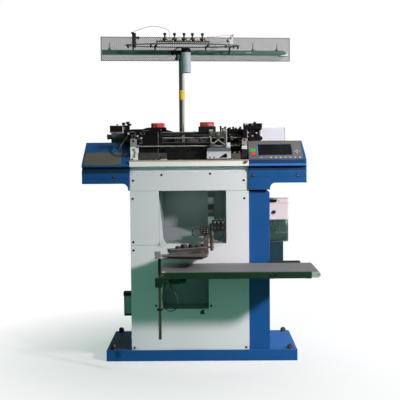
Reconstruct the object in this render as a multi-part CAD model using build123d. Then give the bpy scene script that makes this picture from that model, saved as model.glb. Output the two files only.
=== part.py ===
"""Glove knitting machine: a V-bed knitting head on a cabinet, with creel, take-off and conveyor.

Millimetres. X runs to the right along the needle beds, Y to the back, Z up.
The origin is the centre of the base frame's underside.
"""
from build123d import *
from math import atan2, cos, hypot, pi, radians, sin, tan
import os

os.makedirs("parts", exist_ok=True)

# Clearances
SEAM = 1.0            # visible gap between two cover panels
RUNNING = 0.05        # radial clearance of a shaft in its bore
KEY_GAP = 0.3         # gap round a key or a plate in its pocket

# Base frame
BASE_WIDTH = 1162.0
BASE_DEPTH = 560.0
BASE_HEIGHT = 68.0
BASE_EDGE = 5.0
BOLT_INSET_X = 42.0
BOLT_INSET_Y = 32.0
BOLT_RADIUS = 10.0
BOLT_HEAD_WIDTH = 30.0
BOLT_HEAD_HEIGHT = 16.0
BOLT_WASHER_RADIUS = 18.0
BOLT_WASHER_THICK = 3.0
BOLT_STUD_HEIGHT = 23.0
BOLT_CAP_RADIUS = 17.5
BOLT_CAP_HEIGHT = 28.0

# Cabinet
FRONT = -BASE_DEPTH / 2
SHEET = 3.0
CABINET_LEFT = -425.5
CABINET_WIDTH = 714.5
CABINET_RIGHT = CABINET_LEFT + CABINET_WIDTH
CABINET_BACK = -FRONT - 18.0
TABLE_HEIGHT = 1036.0
DOOR_WIDTH = 174.5
DOOR_RIGHT = CABINET_LEFT + DOOR_WIDTH
WINDOW_SILL = 717.0
DOOR_BOTTOM = WINDOW_SILL - 9.0
WINDOW_TOP_LEFT = DOOR_RIGHT - 4.0
WINDOW_LOW_LEFT = DOOR_RIGHT + 24.0
WINDOW_RIGHT = CABINET_RIGHT - 136.5
WINDOW_CORNER = 28.0
CHUTE_RISE = 80.0
CHUTE_DEPTH = 277.0
CHUTE_BACK_LEFT = WINDOW_TOP_LEFT + 20.0
CHUTE_SHEET = 2.0
GLAND_HEIGHT = 12.0
GLAND_INSET = 43.5
GLAND_RADIUS = 5.5
RECESS_LEFT = -234.0
RECESS_RIGHT = 44.0
RECESS_BOTTOM = 320.0
RECESS_HEIGHT = 240.0
RECESS_DEPTH = 155.0
COLUMN_WIDTH = 126.0
COLUMN_RIGHT = CABINET_RIGHT + COLUMN_WIDTH
COLUMN_SETBACK = 18.0
COLUMN_TOP = TABLE_HEIGHT - 5.0
COLUMN_CORNER = 12.0

# Knitting head: castings and beds
CASTING_SETBACK = 22.0
LEDGE_RISE = 177.0
LEDGE_HEIGHT = TABLE_HEIGHT + LEDGE_RISE
THROAT_CENTRE = FRONT + 220.0
THROAT_GAP = 40.0
BED_ANGLE = 30.5
BED_LENGTH = 150.0
BED_THICK = 14.0
BED_LIFT = 1.87
BED_LEFT = CABINET_LEFT + 200.5
BED_RIGHT = CABINET_RIGHT - 106.0
RIDGE_HEIGHT = LEDGE_HEIGHT + BED_LIFT + BED_LENGTH * sin(radians(BED_ANGLE))
REAR_TABLE_END = CABINET_BACK - 84.0
REAR_TABLE_LOW = LEDGE_HEIGHT - 113.0
NEEDLES_PER_BED = 40
NEEDLE_THICK = 2.0
TRICK_GAP = 0.2
TRICK_DEPTH = 4.0
FRONT_BLOCK_THICK = 16.0
FRONT_BLOCK_GAP = 12.8
HEADER_FACE_TOP = LEDGE_HEIGHT - 66.5
HEADER_GROOVE_TOP = LEDGE_HEIGHT - 29.5
HEADER_GROOVE_DEPTH = 18.0
HEADER_LIP = 20.0
LEDGE_THICK = 8.0
LEDGE_BACK = FRONT + 40.0
REAR_COVER_HEIGHT = 163.0
REAR_COVER_THICK = 2.0
REAR_COVER_RIB = 6.0

# Consoles
LEFT_CONSOLE_WIDTH = 286.5
RIGHT_CONSOLE_WIDTH = 348.0
CONSOLE_LEFT_END = CABINET_LEFT - LEFT_CONSOLE_WIDTH
CONSOLE_RIGHT_END = CABINET_RIGHT + RIGHT_CONSOLE_WIDTH
CONSOLE_BACK = CABINET_BACK - 82.0
CONSOLE_BOTTOM = LEDGE_HEIGHT - 132.0
CONSOLE_NECK_BOTTOM = TABLE_HEIGHT + 4.0
CONSOLE_FLARE = 32.0
LEFT_DECK = LEDGE_HEIGHT + 117.0
RIGHT_DECK = LEDGE_HEIGHT + 120.0
LEFT_SLOPE_TOP_Y = FRONT + 170.0
LEFT_SLOPE_LOW = LEDGE_HEIGHT - 23.0
RIGHT_SLOPE_TOP_Y = FRONT + 185.0
RIGHT_SLOPE_LOW = LEDGE_HEIGHT + 8.0
RIGHT_SLOPE_FRONT = FRONT + 2.0
RIDGE_FRONT = FRONT - 22.0
GROOVE_FRONT = FRONT + 4.0
LOWER_FRONT = FRONT - 12.0
CONSOLE_EDGE = 7.0
CONSOLE_FACET = 16.0

# Control panel, measured along the sloping deck
BEZEL_THICK = 3.0
BEZEL_SIDE = 4.0
BEZEL_WIDTH = 322.0
SCREEN_LEFT = CABINET_RIGHT + 61.0
SCREEN_WIDTH = 204.0
SCREEN_LOW = 45.0
SCREEN_HEIGHT = 121.0
KEY_X = CABINET_RIGHT + 17.0
KEY_WIDTH = 28.0
START_KEY_LOW = 88.0
START_KEY_HEIGHT = 29.0
STOP_KEY_LOW = 38.0
STOP_KEY_HEIGHT = 36.0
KEY_TRAVEL = 1.5
FILM_KEY_PITCH = 29.0
FILM_KEY_RAISE = 0.8
ARROW_X = CABINET_RIGHT + 294.0
ARROW_UP = 80.0
ARROW_REACH = 11.0

# Carriage and its rail
RAIL_Y = FRONT + 100.0
RAIL_Z = LEDGE_HEIGHT + 90.0
RAIL_RADIUS = 4.5
RAIL_LEFT = CABINET_LEFT + 47.5
RAIL_RIGHT = CABINET_RIGHT - 37.0
CAM_LEFT = BED_RIGHT - 144.0
CAM_WIDTH = 145.0
CAM_RIGHT = CAM_LEFT + CAM_WIDTH
CAM_FRONT = FRONT + 33.0
CAM_THICK = 8.0
CAM_BOTTOM = LEDGE_HEIGHT + 15.0
SHELF_BOTTOM = LEDGE_HEIGHT + 60.0
SHELF_TOP = LEDGE_HEIGHT + 79.0
BRIDGE_LEFT = CAM_LEFT + 14.0
BRIDGE_WIDTH = 109.0
BRIDGE_RIGHT = BRIDGE_LEFT + BRIDGE_WIDTH
BRIDGE_TOP = SHELF_TOP + 112.0
BRIDGE_FRONT = FRONT + 68.0
BRIDGE_THICK = 14.0

# Yarn rails, feeders and the frames that hold them
FEED_RAIL_1_Y = THROAT_CENTRE - 60.0
FEED_RAIL_1_Z = LEDGE_HEIGHT + 141.0
FEED_RAIL_2_Y = THROAT_CENTRE + 80.0
FEED_RAIL_2_Z = LEDGE_HEIGHT + 113.0
FEED_RAIL_WIDTH = 8.0
FEED_RAIL_HEIGHT = 10.0
REAR_RAIL_Y = THROAT_CENTRE + 100.0
REAR_RAIL_THICK = 12.0
REAR_RAIL_HEIGHT = 28.0
TOP_BEAM_Z = LEDGE_HEIGHT + 165.0
TOP_BEAM_HEIGHT = 16.0
TOP_BEAM_TOP = TOP_BEAM_Z + TOP_BEAM_HEIGHT
TOP_BEAM_FRONT = THROAT_CENTRE + 20.0
TOP_BEAM_BACK = THROAT_CENTRE + 60.0
CAP_BASE_HEIGHT = 32.0
CAP_PLINTH = 12.0
CAP_HEIGHT = 27.0
CAP_WIDTH = 90.0
CAP_FRONT = THROAT_CENTRE + 2.0
CAP_BACK = THROAT_CENTRE + 78.0
HOUSING_LEFT = CABINET_LEFT - 44.5
HOUSING_RIGHT = BED_LEFT - 20.0
HOUSING_RISE = 16.0
HOUSING_TOP = TOP_BEAM_TOP + HOUSING_RISE
HOUSING_FRONT = FRONT + 120.0
HOUSING_BACK = THROAT_CENTRE + 160.0
LEFT_CAP_LEFT = HOUSING_RIGHT - 63.0
RIGHT_CAP_LEFT = BED_RIGHT - 186.0
END_FRAME_LEFT = CABINET_RIGHT - 27.0
BRACKET_BLOCK_TOP = LEDGE_HEIGHT + 69.0
SELECTOR_LEFT = BED_RIGHT - 18.0
SELECTOR_BOTTOM = TOP_BEAM_Z - 33.0
FEEDER_WIDTH = 26.0
FEEDER_1_X = BED_RIGHT + 7.0
FEEDER_2_X = BED_RIGHT + 43.0

# Creel, measured along its own beam from the mast
MAST_X = CABINET_LEFT + 306.5
MAST_Y = CABINET_BACK - 132.0
MAST_RADIUS = 18.0
MAST_WALL = 2.0
MAST_LENGTH = 673.5
SOCKET_HEIGHT = 62.0
CREEL_YAW = 7.1
BEAM_LEFT = -507.0
BEAM_RIGHT = 680.0
BEAM_BOTTOM = LEDGE_HEIGHT + MAST_LENGTH
BEAM_HEIGHT = 26.5
BEAM_DEPTH = 40.0
SCREEN_PANEL_LEFT = BEAM_LEFT - 8.0
SCREEN_PANEL_RIGHT = BEAM_RIGHT + 34.0
SCREEN_PANEL_BOTTOM = BEAM_BOTTOM - 35.0
SCREEN_PANEL_HEIGHT = 153.5
SCREEN_PANEL_THICK = 2.0
SCREEN_PANEL_BACK = 4.0
SCREEN_ROWS = 3
SCREEN_COLUMNS = 36
RING_LENGTH = 720.0
RING_DEPTH = 190.0
RING_CENTRE = -95.0
RING_HEIGHT = BEAM_BOTTOM + 51.5
RING_ROD = 3.5
RING_POST_HALF = 5.0
BOTTLE_RADIUS = 31.0
BOTTLE_HEIGHT = 128.0
BOTTLE_CAP_RADIUS = 27.0

# Take-off
TRAY_TOP = WINDOW_SILL - 42.0
CLAMP_TOP = TRAY_TOP + 33.0
PIVOT_X = WINDOW_RIGHT - 88.5
PIVOT_Y = FRONT - 65.0
PIVOT_RADIUS = 9.0
CLAMP_YAW = 28.0
GUIDE_FRONT = FRONT + 200.0
GUIDE_DEPTH = 36.0
GUIDE_LOW = TRAY_TOP + 131.0
VALVE_LOW = TRAY_TOP + 122.0
VALVE_HEIGHT = 67.0
GRIP_TOP = TRAY_TOP + 121.0

# Conveyor
BELT_DROP = 75.0
BELT_TOP = TRAY_TOP - BELT_DROP
BELT_THICK = 2.0
ROLLER_RADIUS = 14.7
STUB_RADIUS = 5.0
BELT_GAP = 0.3
ROLLER_LEFT_X = PIVOT_X - 280.0
ROLLER_SPAN = 868.0
ROLLER_RIGHT_X = ROLLER_LEFT_X + ROLLER_SPAN
BELT_BACK = FRONT - 24.0
BELT_WIDTH = 368.0
BELT_FRONT = BELT_BACK - BELT_WIDTH
SIDE_FRAME_THICK = 6.0
SIDE_FRAME_GAP = 2.0
SIDE_FRAME_BOTTOM = BELT_TOP - 38.0
SIDE_FRAME_TOP = BELT_TOP - 4.0
SIDE_FRAME_LEFT = ROLLER_LEFT_X + 17.0
SIDE_FRAME_RIGHT = ROLLER_RIGHT_X - 33.0
CROSSBAR_WIDTH = 30.0
POST_X = ROLLER_LEFT_X - 14.0
POST_SIZE = 16.0
POST_GROOVE = 5.0
STOP_RISE = 163.0
POST_DROP = 375.0
POST_BOTTOM = BELT_TOP - POST_DROP
POST_TOP = BELT_TOP + 80.0

# Side oiler and junction box
RESERVOIR_DROP = 336.0
RESERVOIR_LOW = TABLE_HEIGHT - RESERVOIR_DROP
RESERVOIR_WIDTH = 130.0
RESERVOIR_HALF = 44.0
RESERVOIR_HEIGHT = 140.0
OILER_COVER_HEIGHT = 132.0
OILER_WALL = 4.0
JUNCTION_WIDTH = 73.5
JUNCTION_LOW = 222.0
JUNCTION_HEIGHT = 128.0

# Cables and hoses: the corners of each route
CABLE_RADIUS = 3.0
HOSE_RADIUS = 2.5
MOTOR_CABLE_ROUTE = [(-174, -606, 530), (-174, -606, 512), (-164, -612, 492), (-146, -618, 470), (-132, -622, 440),
                     (-129, -630, 410), (-141, -632, 386), (-163, -634, 373), (-188, -636, 376), (-205, -640, 394),
                     (-214, -646, 420), (-217, -654, 448), (-215, -664, 478), (-209, -676, 504), (-202, -686, 522),
                     (-202, -686, 540)]
HOSE_LOOP_ROUTE = [(-2, -352, 812), (-15, -352, 812), (-29, -354, 819), (-43, -358, 814), (-52, -362, 802),
                   (-53, -362, 788), (-46, -358, 776), (-32, -353, 770), (-16, -348, 770), (1, -345, 774),
                   (16, -345, 774)]
HOSE_DROP_ROUTE = [(137, -335, 797), (137, -335, 777), (133, -327, 762), (126, -312, 753), (118, -294, 750),
                   (112, -280, 746), (109, -271, 735), (109, -271, 722)]
HEAD_CABLE_1_ROUTE = [(-440, -160, 1372), (-440, -182, 1372), (-446, -206, 1364), (-458, -228, 1348),
                      (-470, -246, 1324), (-479, -259, 1296), (-476, -262, 1272), (-466, -254, 1256),
                      (-454, -240, 1251), (-440, -232, 1251), (-423.5, -232, 1251)]
HEAD_CABLE_2_ROUTE = [(-455, -160, 1350), (-455, -178, 1350), (-461, -200, 1343), (-473, -218, 1328),
                      (-486, -232, 1308), (-491, -240, 1284), (-484, -243, 1264), (-468, -238, 1256),
                      (-452, -228, 1258), (-438, -222, 1261), (-423.5, -222, 1261)]


def box(x_low, x_high, y_low, y_high, z_low, z_high):
    """A block given by its six faces."""
    centre = Pos((x_low + x_high) / 2, (y_low + y_high) / 2, (z_low + z_high) / 2)
    return centre * Box(x_high - x_low, y_high - y_low, z_high - z_low)


def soft_box(x_low, x_high, y_low, y_high, z_low, z_high, radius):
    """A block with its upright edges rounded."""
    block = box(x_low, x_high, y_low, y_high, z_low, z_high)
    return fillet(block.edges().filter_by(Axis.Z), radius)


def rod(start, end, radius):
    """A round bar between two points."""
    line = Vector(*end) - Vector(*start)
    plane = Plane(origin=start, z_dir=line)
    return extrude(plane * Circle(radius), line.length)


def tube(start, end, radius, bore):
    """A round tube between two points."""
    return rod(start, end, radius) - rod(start, end, bore)


def along_x(outline, x_low, x_high):
    """An outline of (Y, Z) points, carried along X."""
    plane = Plane(origin=(x_low, 0, 0), x_dir=(0, 1, 0), z_dir=(1, 0, 0))
    return extrude(plane * make_face(Polyline(*outline, close=True)), x_high - x_low)


def along_y(outline, y_low, y_high):
    """An outline of (X, Z) points, carried along Y."""
    plane = Plane(origin=(0, y_low, 0), x_dir=(1, 0, 0), z_dir=(0, -1, 0))
    return extrude(plane * make_face(Polyline(*outline, close=True)), -(y_high - y_low))


def along_z(outline, z_low, z_high):
    """An outline of (X, Y) points, carried along Z."""
    plane = Plane(origin=(0, 0, z_low))
    return extrude(plane * make_face(Polyline(*outline, close=True)), z_high - z_low)


def sheet_outline(points, thickness):
    """The outline of a folded sheet: a path and its mitred copy to the left of it."""
    inner = []
    for index, (x, y) in enumerate(points):
        before = points[max(index - 1, 0)]
        after = points[min(index + 1, len(points) - 1)]
        turns = []
        if index > 0:
            turns.append(atan2(y - before[1], x - before[0]))
        if index < len(points) - 1:
            turns.append(atan2(after[1] - y, after[0] - x))
        middle = atan2(sum(sin(a) for a in turns), sum(cos(a) for a in turns))
        reach = thickness / cos(turns[0] - middle)
        inner.append((x - reach * sin(middle), y + reach * cos(middle)))
    return list(points) + inner[::-1]


def save(name, *solids):
    """Write one sub-part: one solid, or a group of separate solids."""
    shape = solids[0] if len(solids) == 1 else Compound(children=list(solids))
    shape.label = name
    export_step(shape, f"parts/{name}.step")


def base_frame():
    """Closed steel base with four levelling holes."""
    body = box(-BASE_WIDTH / 2, BASE_WIDTH / 2, FRONT, -FRONT, 0, BASE_HEIGHT)
    body = fillet(body.edges().filter_by(Axis.Z), BASE_EDGE)
    body = fillet(body.edges().group_by(Axis.Z)[-1], BASE_EDGE - 1.0)
    for x, y in bolt_places():
        body -= Pos(x, y, BASE_HEIGHT / 2) * Cylinder(BOLT_RADIUS + KEY_GAP, BASE_HEIGHT)
    save("base_frame", body)


def bolt_places():
    """Where the four levelling bolts stand."""
    x = BASE_WIDTH / 2 - BOLT_INSET_X
    y = BASE_DEPTH / 2 - BOLT_INSET_Y
    return [(-x, -y), (x, -y), (-x, y), (x, y)]


def levelling_bolts():
    """Bolt, washer and nut at each corner of the base; the left two under round caps."""
    solids = []
    nut_z = BASE_HEIGHT + BOLT_WASHER_THICK
    for x, y in bolt_places():
        washer = Pos(x, y, BASE_HEIGHT + BOLT_WASHER_THICK / 2) * Cylinder(BOLT_WASHER_RADIUS, BOLT_WASHER_THICK)
        nut = Pos(x, y, nut_z) * extrude(RegularPolygon(BOLT_HEAD_WIDTH / 2, 6, major_radius=False), BOLT_HEAD_HEIGHT)
        bolt = washer + nut + rod((x, y, 0), (x, y, nut_z + BOLT_STUD_HEIGHT), BOLT_RADIUS)
        if x < 0:
            cap = rod((x, y, nut_z), (x, y, nut_z + BOLT_CAP_HEIGHT), BOLT_CAP_RADIUS)
            bolt += fillet(cap.edges().group_by(Axis.Z)[-1], 0.8 * BOLT_CAP_RADIUS)
        solids.append(bolt)
    save("levelling_bolts", *solids)


def cabinet_shell():
    """Sides and back of the cabinet, one sheet folded twice."""
    path = [(CABINET_RIGHT, FRONT + SHEET), (CABINET_RIGHT, CABINET_BACK),
            (CABINET_LEFT, CABINET_BACK), (CABINET_LEFT, FRONT + SHEET)]
    save("cabinet_shell", along_z(sheet_outline(path, SHEET), BASE_HEIGHT, TABLE_HEIGHT))


def window_outline():
    """The window in the front panel: its left side leans, its low corner is cut."""
    return [(WINDOW_TOP_LEFT, TABLE_HEIGHT + SHEET), (WINDOW_LOW_LEFT, WINDOW_SILL + WINDOW_CORNER),
            (WINDOW_LOW_LEFT + 0.65 * WINDOW_CORNER, WINDOW_SILL), (WINDOW_RIGHT, WINDOW_SILL),
            (WINDOW_RIGHT, TABLE_HEIGHT + SHEET)]


def front_panel():
    """White front sheet with the glove window, the service opening and the door's place."""
    panel = box(CABINET_LEFT, CABINET_RIGHT, FRONT, FRONT + SHEET, BASE_HEIGHT, TABLE_HEIGHT)
    panel -= along_y(window_outline(), FRONT - 1, FRONT + SHEET + 1)
    panel -= box(RECESS_LEFT, RECESS_RIGHT, FRONT - 1, FRONT + SHEET + 1, RECESS_BOTTOM, RECESS_BOTTOM + RECESS_HEIGHT)
    panel -= box(CABINET_LEFT - 1, DOOR_RIGHT, FRONT - 1, FRONT + SHEET + 1, DOOR_BOTTOM, TABLE_HEIGHT + 1)
    save("front_panel", panel)


def upper_door():
    """Upper left cover sheet, folded back along its edges, low right corner rounded."""
    door = box(CABINET_LEFT, DOOR_RIGHT - SEAM, FRONT, FRONT + SHEET, DOOR_BOTTOM + SEAM, TABLE_HEIGHT)
    corner = door.edges().filter_by(Axis.Y).group_by(Axis.Z)[0].sort_by(Axis.X)[-1]
    save("upper_door", fillet(corner, 16.0))


def chute_liner():
    """Sheet steel box behind the window: side walls, back, top with the glove throat, sloping floor."""
    back = FRONT + SHEET + CHUTE_DEPTH
    top = TABLE_HEIGHT
    left = WINDOW_TOP_LEFT - SHEET
    right = WINDOW_RIGHT
    plan = [(left, FRONT + SHEET), (CHUTE_BACK_LEFT, back), (right, back), (right, FRONT + SHEET)]
    wall = CHUTE_SHEET
    low = WINDOW_SILL - wall
    shell = along_z(sheet_outline(plan, wall), low, top)
    back_height = WINDOW_SILL + CHUTE_RISE
    rise = CHUTE_RISE / CHUTE_DEPTH
    keep = along_x([(FRONT + SHEET, low), (back + wall, back_height - wall + wall * rise),
                    (back + wall, top), (FRONT + SHEET, top)], left - wall, right + wall)
    shell = shell & keep
    inside = along_z(plan, low, top)
    floor = along_x([(FRONT + SHEET, low), (FRONT + SHEET, WINDOW_SILL),
                     (back, back_height), (back, back_height - wall)], left - wall, right + wall) & inside
    roof = box(left - wall, right + wall, FRONT + SHEET, back, top - wall, top) & inside
    throat_low = THROAT_CENTRE - THROAT_GAP / 2
    roof -= box(BED_LEFT, BED_RIGHT - THROAT_GAP, throat_low, throat_low + THROAT_GAP, top - wall - 1, top + 1)
    gland_x = WINDOW_RIGHT - GLAND_INSET
    gland_y = FRONT + 9.0
    gland_top = WINDOW_SILL + 5.0
    gland = rod((gland_x, gland_y, gland_top - GLAND_HEIGHT), (gland_x, gland_y, gland_top), GLAND_RADIUS)
    save("chute_liner", shell + floor + roof + gland)


def recess_liner():
    """Closed sheet box behind the service opening."""
    y_front = FRONT + SHEET
    top = RECESS_BOTTOM + RECESS_HEIGHT
    outer = box(RECESS_LEFT - 2, RECESS_RIGHT + 2, y_front, y_front + RECESS_DEPTH, RECESS_BOTTOM - 2, top + 2)
    inner = box(RECESS_LEFT, RECESS_RIGHT, y_front - 1, y_front + RECESS_DEPTH - 2, RECESS_BOTTOM, top)
    save("recess_liner", outer - inner)


def right_column():
    """Blue electrical cabinet beside the stand, a closed housing."""
    y_front = FRONT + COLUMN_SETBACK
    body = box(CABINET_RIGHT, COLUMN_RIGHT, y_front, CABINET_BACK, BASE_HEIGHT, COLUMN_TOP)
    body = fillet(body.edges().filter_by(Axis.Y).group_by(Axis.Z)[-1].sort_by(Axis.X)[-1], COLUMN_CORNER)
    save("right_column", body)


BED_SIN = sin(radians(BED_ANGLE))
BED_COS = cos(radians(BED_ANGLE))
RIDGE_FRONT_Y = THROAT_CENTRE - THROAT_GAP / 2
BED_LOW_Y = RIDGE_FRONT_Y - BED_LENGTH * BED_COS
BED_LOW_Z = RIDGE_HEIGHT - BED_LENGTH * BED_SIN
CASTING_FRONT = FRONT + CASTING_SETBACK
NEEDLE_PITCH = (BED_RIGHT - BED_LEFT) / NEEDLES_PER_BED


def mirror_y(y):
    """The rear bed's place for a front bed's Y."""
    return 2 * THROAT_CENTRE - y


def bed_castings():
    """Front and rear iron castings that carry the needle beds, with end blocks across the throat."""
    front = along_x([(CASTING_FRONT, TABLE_HEIGHT), (RIDGE_FRONT_Y, TABLE_HEIGHT), (RIDGE_FRONT_Y, RIDGE_HEIGHT),
                     (BED_LOW_Y, BED_LOW_Z), (BED_LOW_Y, LEDGE_HEIGHT), (CASTING_FRONT, LEDGE_HEIGHT)],
                    CABINET_LEFT, CABINET_RIGHT)
    rear = along_x([(mirror_y(RIDGE_FRONT_Y), TABLE_HEIGHT), (mirror_y(RIDGE_FRONT_Y), RIDGE_HEIGHT),
                    (mirror_y(BED_LOW_Y), BED_LOW_Z), (mirror_y(BED_LOW_Y), LEDGE_HEIGHT),
                    (REAR_TABLE_END, LEDGE_HEIGHT), (CABINET_BACK, REAR_TABLE_LOW), (CABINET_BACK, TABLE_HEIGHT)],
                   CABINET_LEFT, CABINET_RIGHT)
    for x_low, x_high in ((CABINET_LEFT, BED_LEFT), (BED_RIGHT, CABINET_RIGHT)):
        flat = box(x_low - 1, x_high + 1, CASTING_FRONT - 1, CABINET_BACK, LEDGE_HEIGHT, RIDGE_HEIGHT + 1)
        front -= flat
        rear -= flat
    block_back = BED_LOW_Y - FRONT_BLOCK_GAP
    block_front = block_back - FRONT_BLOCK_THICK
    blocks = [(BED_LEFT - 152.0, BED_LEFT - 34.0, 53.0), (BED_LEFT - 32.5, BED_LEFT + 21.0, 51.0),
              (BED_RIGHT + 4.0, BED_RIGHT + 59.0, 44.0)]
    for x_low, x_high, height in blocks:
        block = box(x_low, x_high, block_front, block_back, LEDGE_HEIGHT, LEDGE_HEIGHT + height)
        hole = (x_low + 0.3 * (x_high - x_low), LEDGE_HEIGHT + 26.0)
        block -= rod((hole[0], block_front - 1, hole[1]), (hole[0], block_back + 1, hole[1]), 5.0)
        front += block
    ends = []
    for x_low, x_high in ((CABINET_LEFT, BED_LEFT - 20), (BED_RIGHT + 20, CABINET_RIGHT)):
        ends.append(box(x_low, x_high, RIDGE_FRONT_Y, mirror_y(RIDGE_FRONT_Y), TABLE_HEIGHT, LEDGE_HEIGHT))
    save("bed_castings", front + ends[0] + ends[1] + rear)


def bed_plane():
    """The plane of the front needle bed's upper face: x along the bed, y up its slope."""
    origin = (BED_LEFT, BED_LOW_Y - BED_THICK * BED_SIN, BED_LOW_Z + BED_THICK * BED_COS)
    return Plane(origin=origin, x_dir=(1, 0, 0), z_dir=(0, -BED_SIN, BED_COS))


def needle_places():
    """Centres of the tricks along the bed."""
    return [NEEDLE_PITCH * (index + 0.5) for index in range(NEEDLES_PER_BED)]


def one_bed():
    """A needle bed in its own plane: a slab with a trick cut for each needle."""
    width = BED_RIGHT - BED_LEFT
    slab = Pos(width / 2, BED_LENGTH / 2, -BED_THICK / 2) * Box(width, BED_LENGTH, BED_THICK)
    trick = NEEDLE_THICK + 2 * TRICK_GAP
    cuts = [Pos(x, BED_LENGTH / 2, -TRICK_DEPTH / 2) * Box(trick, BED_LENGTH + 2, TRICK_DEPTH)
            for x in needle_places()]
    return slab - cuts


def one_needle_row():
    """Latch needles lying in the tricks, each with its butt and its hook over the throat."""
    low = -TRICK_DEPTH
    side = [(12, low), (BED_LENGTH + 4, low), (BED_LENGTH + 8, low + 3), (BED_LENGTH + 6, low + 5),
            (BED_LENGTH + 4, low + 2.5), (52, low + 2.5), (52, low + 6.5), (46, low + 6.5),
            (46, low + 2.5), (12, low + 2.5)]
    plane = Plane(origin=(0, 0, 0), x_dir=(0, 1, 0), z_dir=(1, 0, 0))
    needle = extrude(plane * make_face(Polyline(*side, close=True)), NEEDLE_THICK)
    return [Pos(x - NEEDLE_THICK / 2, 0, 0) * needle for x in needle_places()]


def rear_copy(shape):
    """The front bed's twin, turned half round about the throat."""
    turned = shape.rotate(Axis((0, THROAT_CENTRE, 0), (0, 0, 1)), 180)
    return turned.translate((BED_LEFT + BED_RIGHT, 0, 0))


def needle_beds():
    """Both slotted beds and all their needles."""
    place = bed_plane().location
    bed = place * one_bed()
    save("needle_beds", bed, rear_copy(bed))
    front_row = [place * needle for needle in one_needle_row()]
    save("needles", *front_row, *[rear_copy(needle) for needle in front_row])


def header_cover():
    """White folded sheet over the castings' front: flat face, deep groove, overhanging lip."""
    groove = FRONT + HEADER_GROOVE_DEPTH
    path = [(CASTING_FRONT, LEDGE_HEIGHT), (FRONT - HEADER_LIP, LEDGE_HEIGHT),
            (FRONT - HEADER_LIP, HEADER_GROOVE_TOP), (groove, HEADER_GROOVE_TOP - 4.0),
            (groove, HEADER_FACE_TOP + 4.0), (FRONT, HEADER_FACE_TOP), (FRONT, TABLE_HEIGHT + SEAM)]
    save("header_cover", along_x(sheet_outline(path, SHEET), CABINET_LEFT, CABINET_RIGHT))


def ledge_strip():
    """Worn metal strip that lies along the front of the bed."""
    save("ledge_strip", box(CABINET_LEFT, CABINET_RIGHT, FRONT - HEADER_LIP, LEDGE_BACK,
                            LEDGE_HEIGHT, LEDGE_HEIGHT + LEDGE_THICK))


def rear_cover():
    """Dark ribbed sheet that closes the head at the back, standing on the rear table."""
    back = REAR_TABLE_END - 2.0
    low = LEDGE_HEIGHT
    high = LEDGE_HEIGHT + REAR_COVER_HEIGHT
    face = back - REAR_COVER_THICK
    rib_front = face - REAR_COVER_RIB
    left = BED_LEFT - 60.0
    right = CABINET_RIGHT - 4.0
    sheet = box(left, right, face, back, low, high)
    sheet += box(left, right, rib_front, face, high - REAR_COVER_THICK, high)
    sheet += box(left, right, rib_front, face, low, low + REAR_COVER_THICK)
    count = 7
    pitch = (right - left - 12.0) / (count - 1)
    for index in range(count):
        x = left + pitch * index
        sheet += box(x, x + 12.0, rib_front, face, low, high)
    save("rear_cover", sheet)


def console_profile(slope_top_y, deck, slope_front, slope_low, step=False):
    """A console's side view: sloping deck, ridge, shadow groove and lower face."""
    points = [(CONSOLE_BACK, deck), (slope_top_y, deck), (slope_front, slope_low)]
    if step:
        points.append((slope_front - 2.0, HEADER_GROOVE_TOP + 12.0))
    points += [(RIDGE_FRONT, HEADER_GROOVE_TOP), (GROOVE_FRONT, HEADER_GROOVE_TOP - 6.0),
               (LOWER_FRONT, HEADER_FACE_TOP + 4.0), (LOWER_FRONT, CONSOLE_NECK_BOTTOM),
               (CONSOLE_BACK, CONSOLE_NECK_BOTTOM)]
    return points


def console_front(inner, neck, outer, top, lean):
    """A console's front view: overhang, hollow curve and neck."""
    side = 1 if outer > inner else -1
    radius = CONSOLE_FLARE
    centre = (neck + side * radius, CONSOLE_BOTTOM - radius)
    turn = [(centre[0] - side * radius * cos(radians(a)), centre[1] + radius * sin(radians(a)))
            for a in (0, 18, 36, 54, 72, 90)]
    return [(inner, top + 1), (inner, CONSOLE_NECK_BOTTOM), (neck, CONSOLE_NECK_BOTTOM)] + turn + [
        (outer, CONSOLE_BOTTOM), (outer, RIGHT_SLOPE_LOW), (outer - side * lean, top + 1)]


def left_console():
    """Blue moulded console at the left of the head."""
    profile = console_profile(LEFT_SLOPE_TOP_Y, LEFT_DECK, RIDGE_FRONT + 2.0, LEFT_SLOPE_LOW)
    side = along_x(profile, CONSOLE_LEFT_END, CABINET_LEFT)
    view = console_front(CABINET_LEFT, CABINET_LEFT - 11.0, CONSOLE_LEFT_END, LEFT_DECK, 6.0)
    body = side & along_y(view, RIDGE_FRONT - 1, CONSOLE_BACK)
    body = chamfer(body.edges().filter_by(Axis.X).sort_by(Axis.Z)[-1], CONSOLE_EDGE)
    save("left_console", body)


def right_console():
    """Blue moulded console at the right, under the control panel, with a cut outer edge."""
    profile = console_profile(RIGHT_SLOPE_TOP_Y, RIGHT_DECK, RIGHT_SLOPE_FRONT, RIGHT_SLOPE_LOW, step=True)
    side = along_x(profile, CABINET_RIGHT, CONSOLE_RIGHT_END)
    view = console_front(CABINET_RIGHT, COLUMN_RIGHT + 1.0, CONSOLE_RIGHT_END, RIGHT_DECK, 12.0)
    body = side & along_y(view, RIDGE_FRONT - 1, CONSOLE_BACK)
    facet = CONSOLE_FACET
    cut = along_z([(CONSOLE_RIGHT_END - facet, RIDGE_FRONT - 2), (CONSOLE_RIGHT_END + 2, RIDGE_FRONT - 2),
                   (CONSOLE_RIGHT_END + 2, RIDGE_FRONT + facet)], CONSOLE_NECK_BOTTOM - 1, RIGHT_DECK + 2)
    save("right_console", body - cut)


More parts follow.
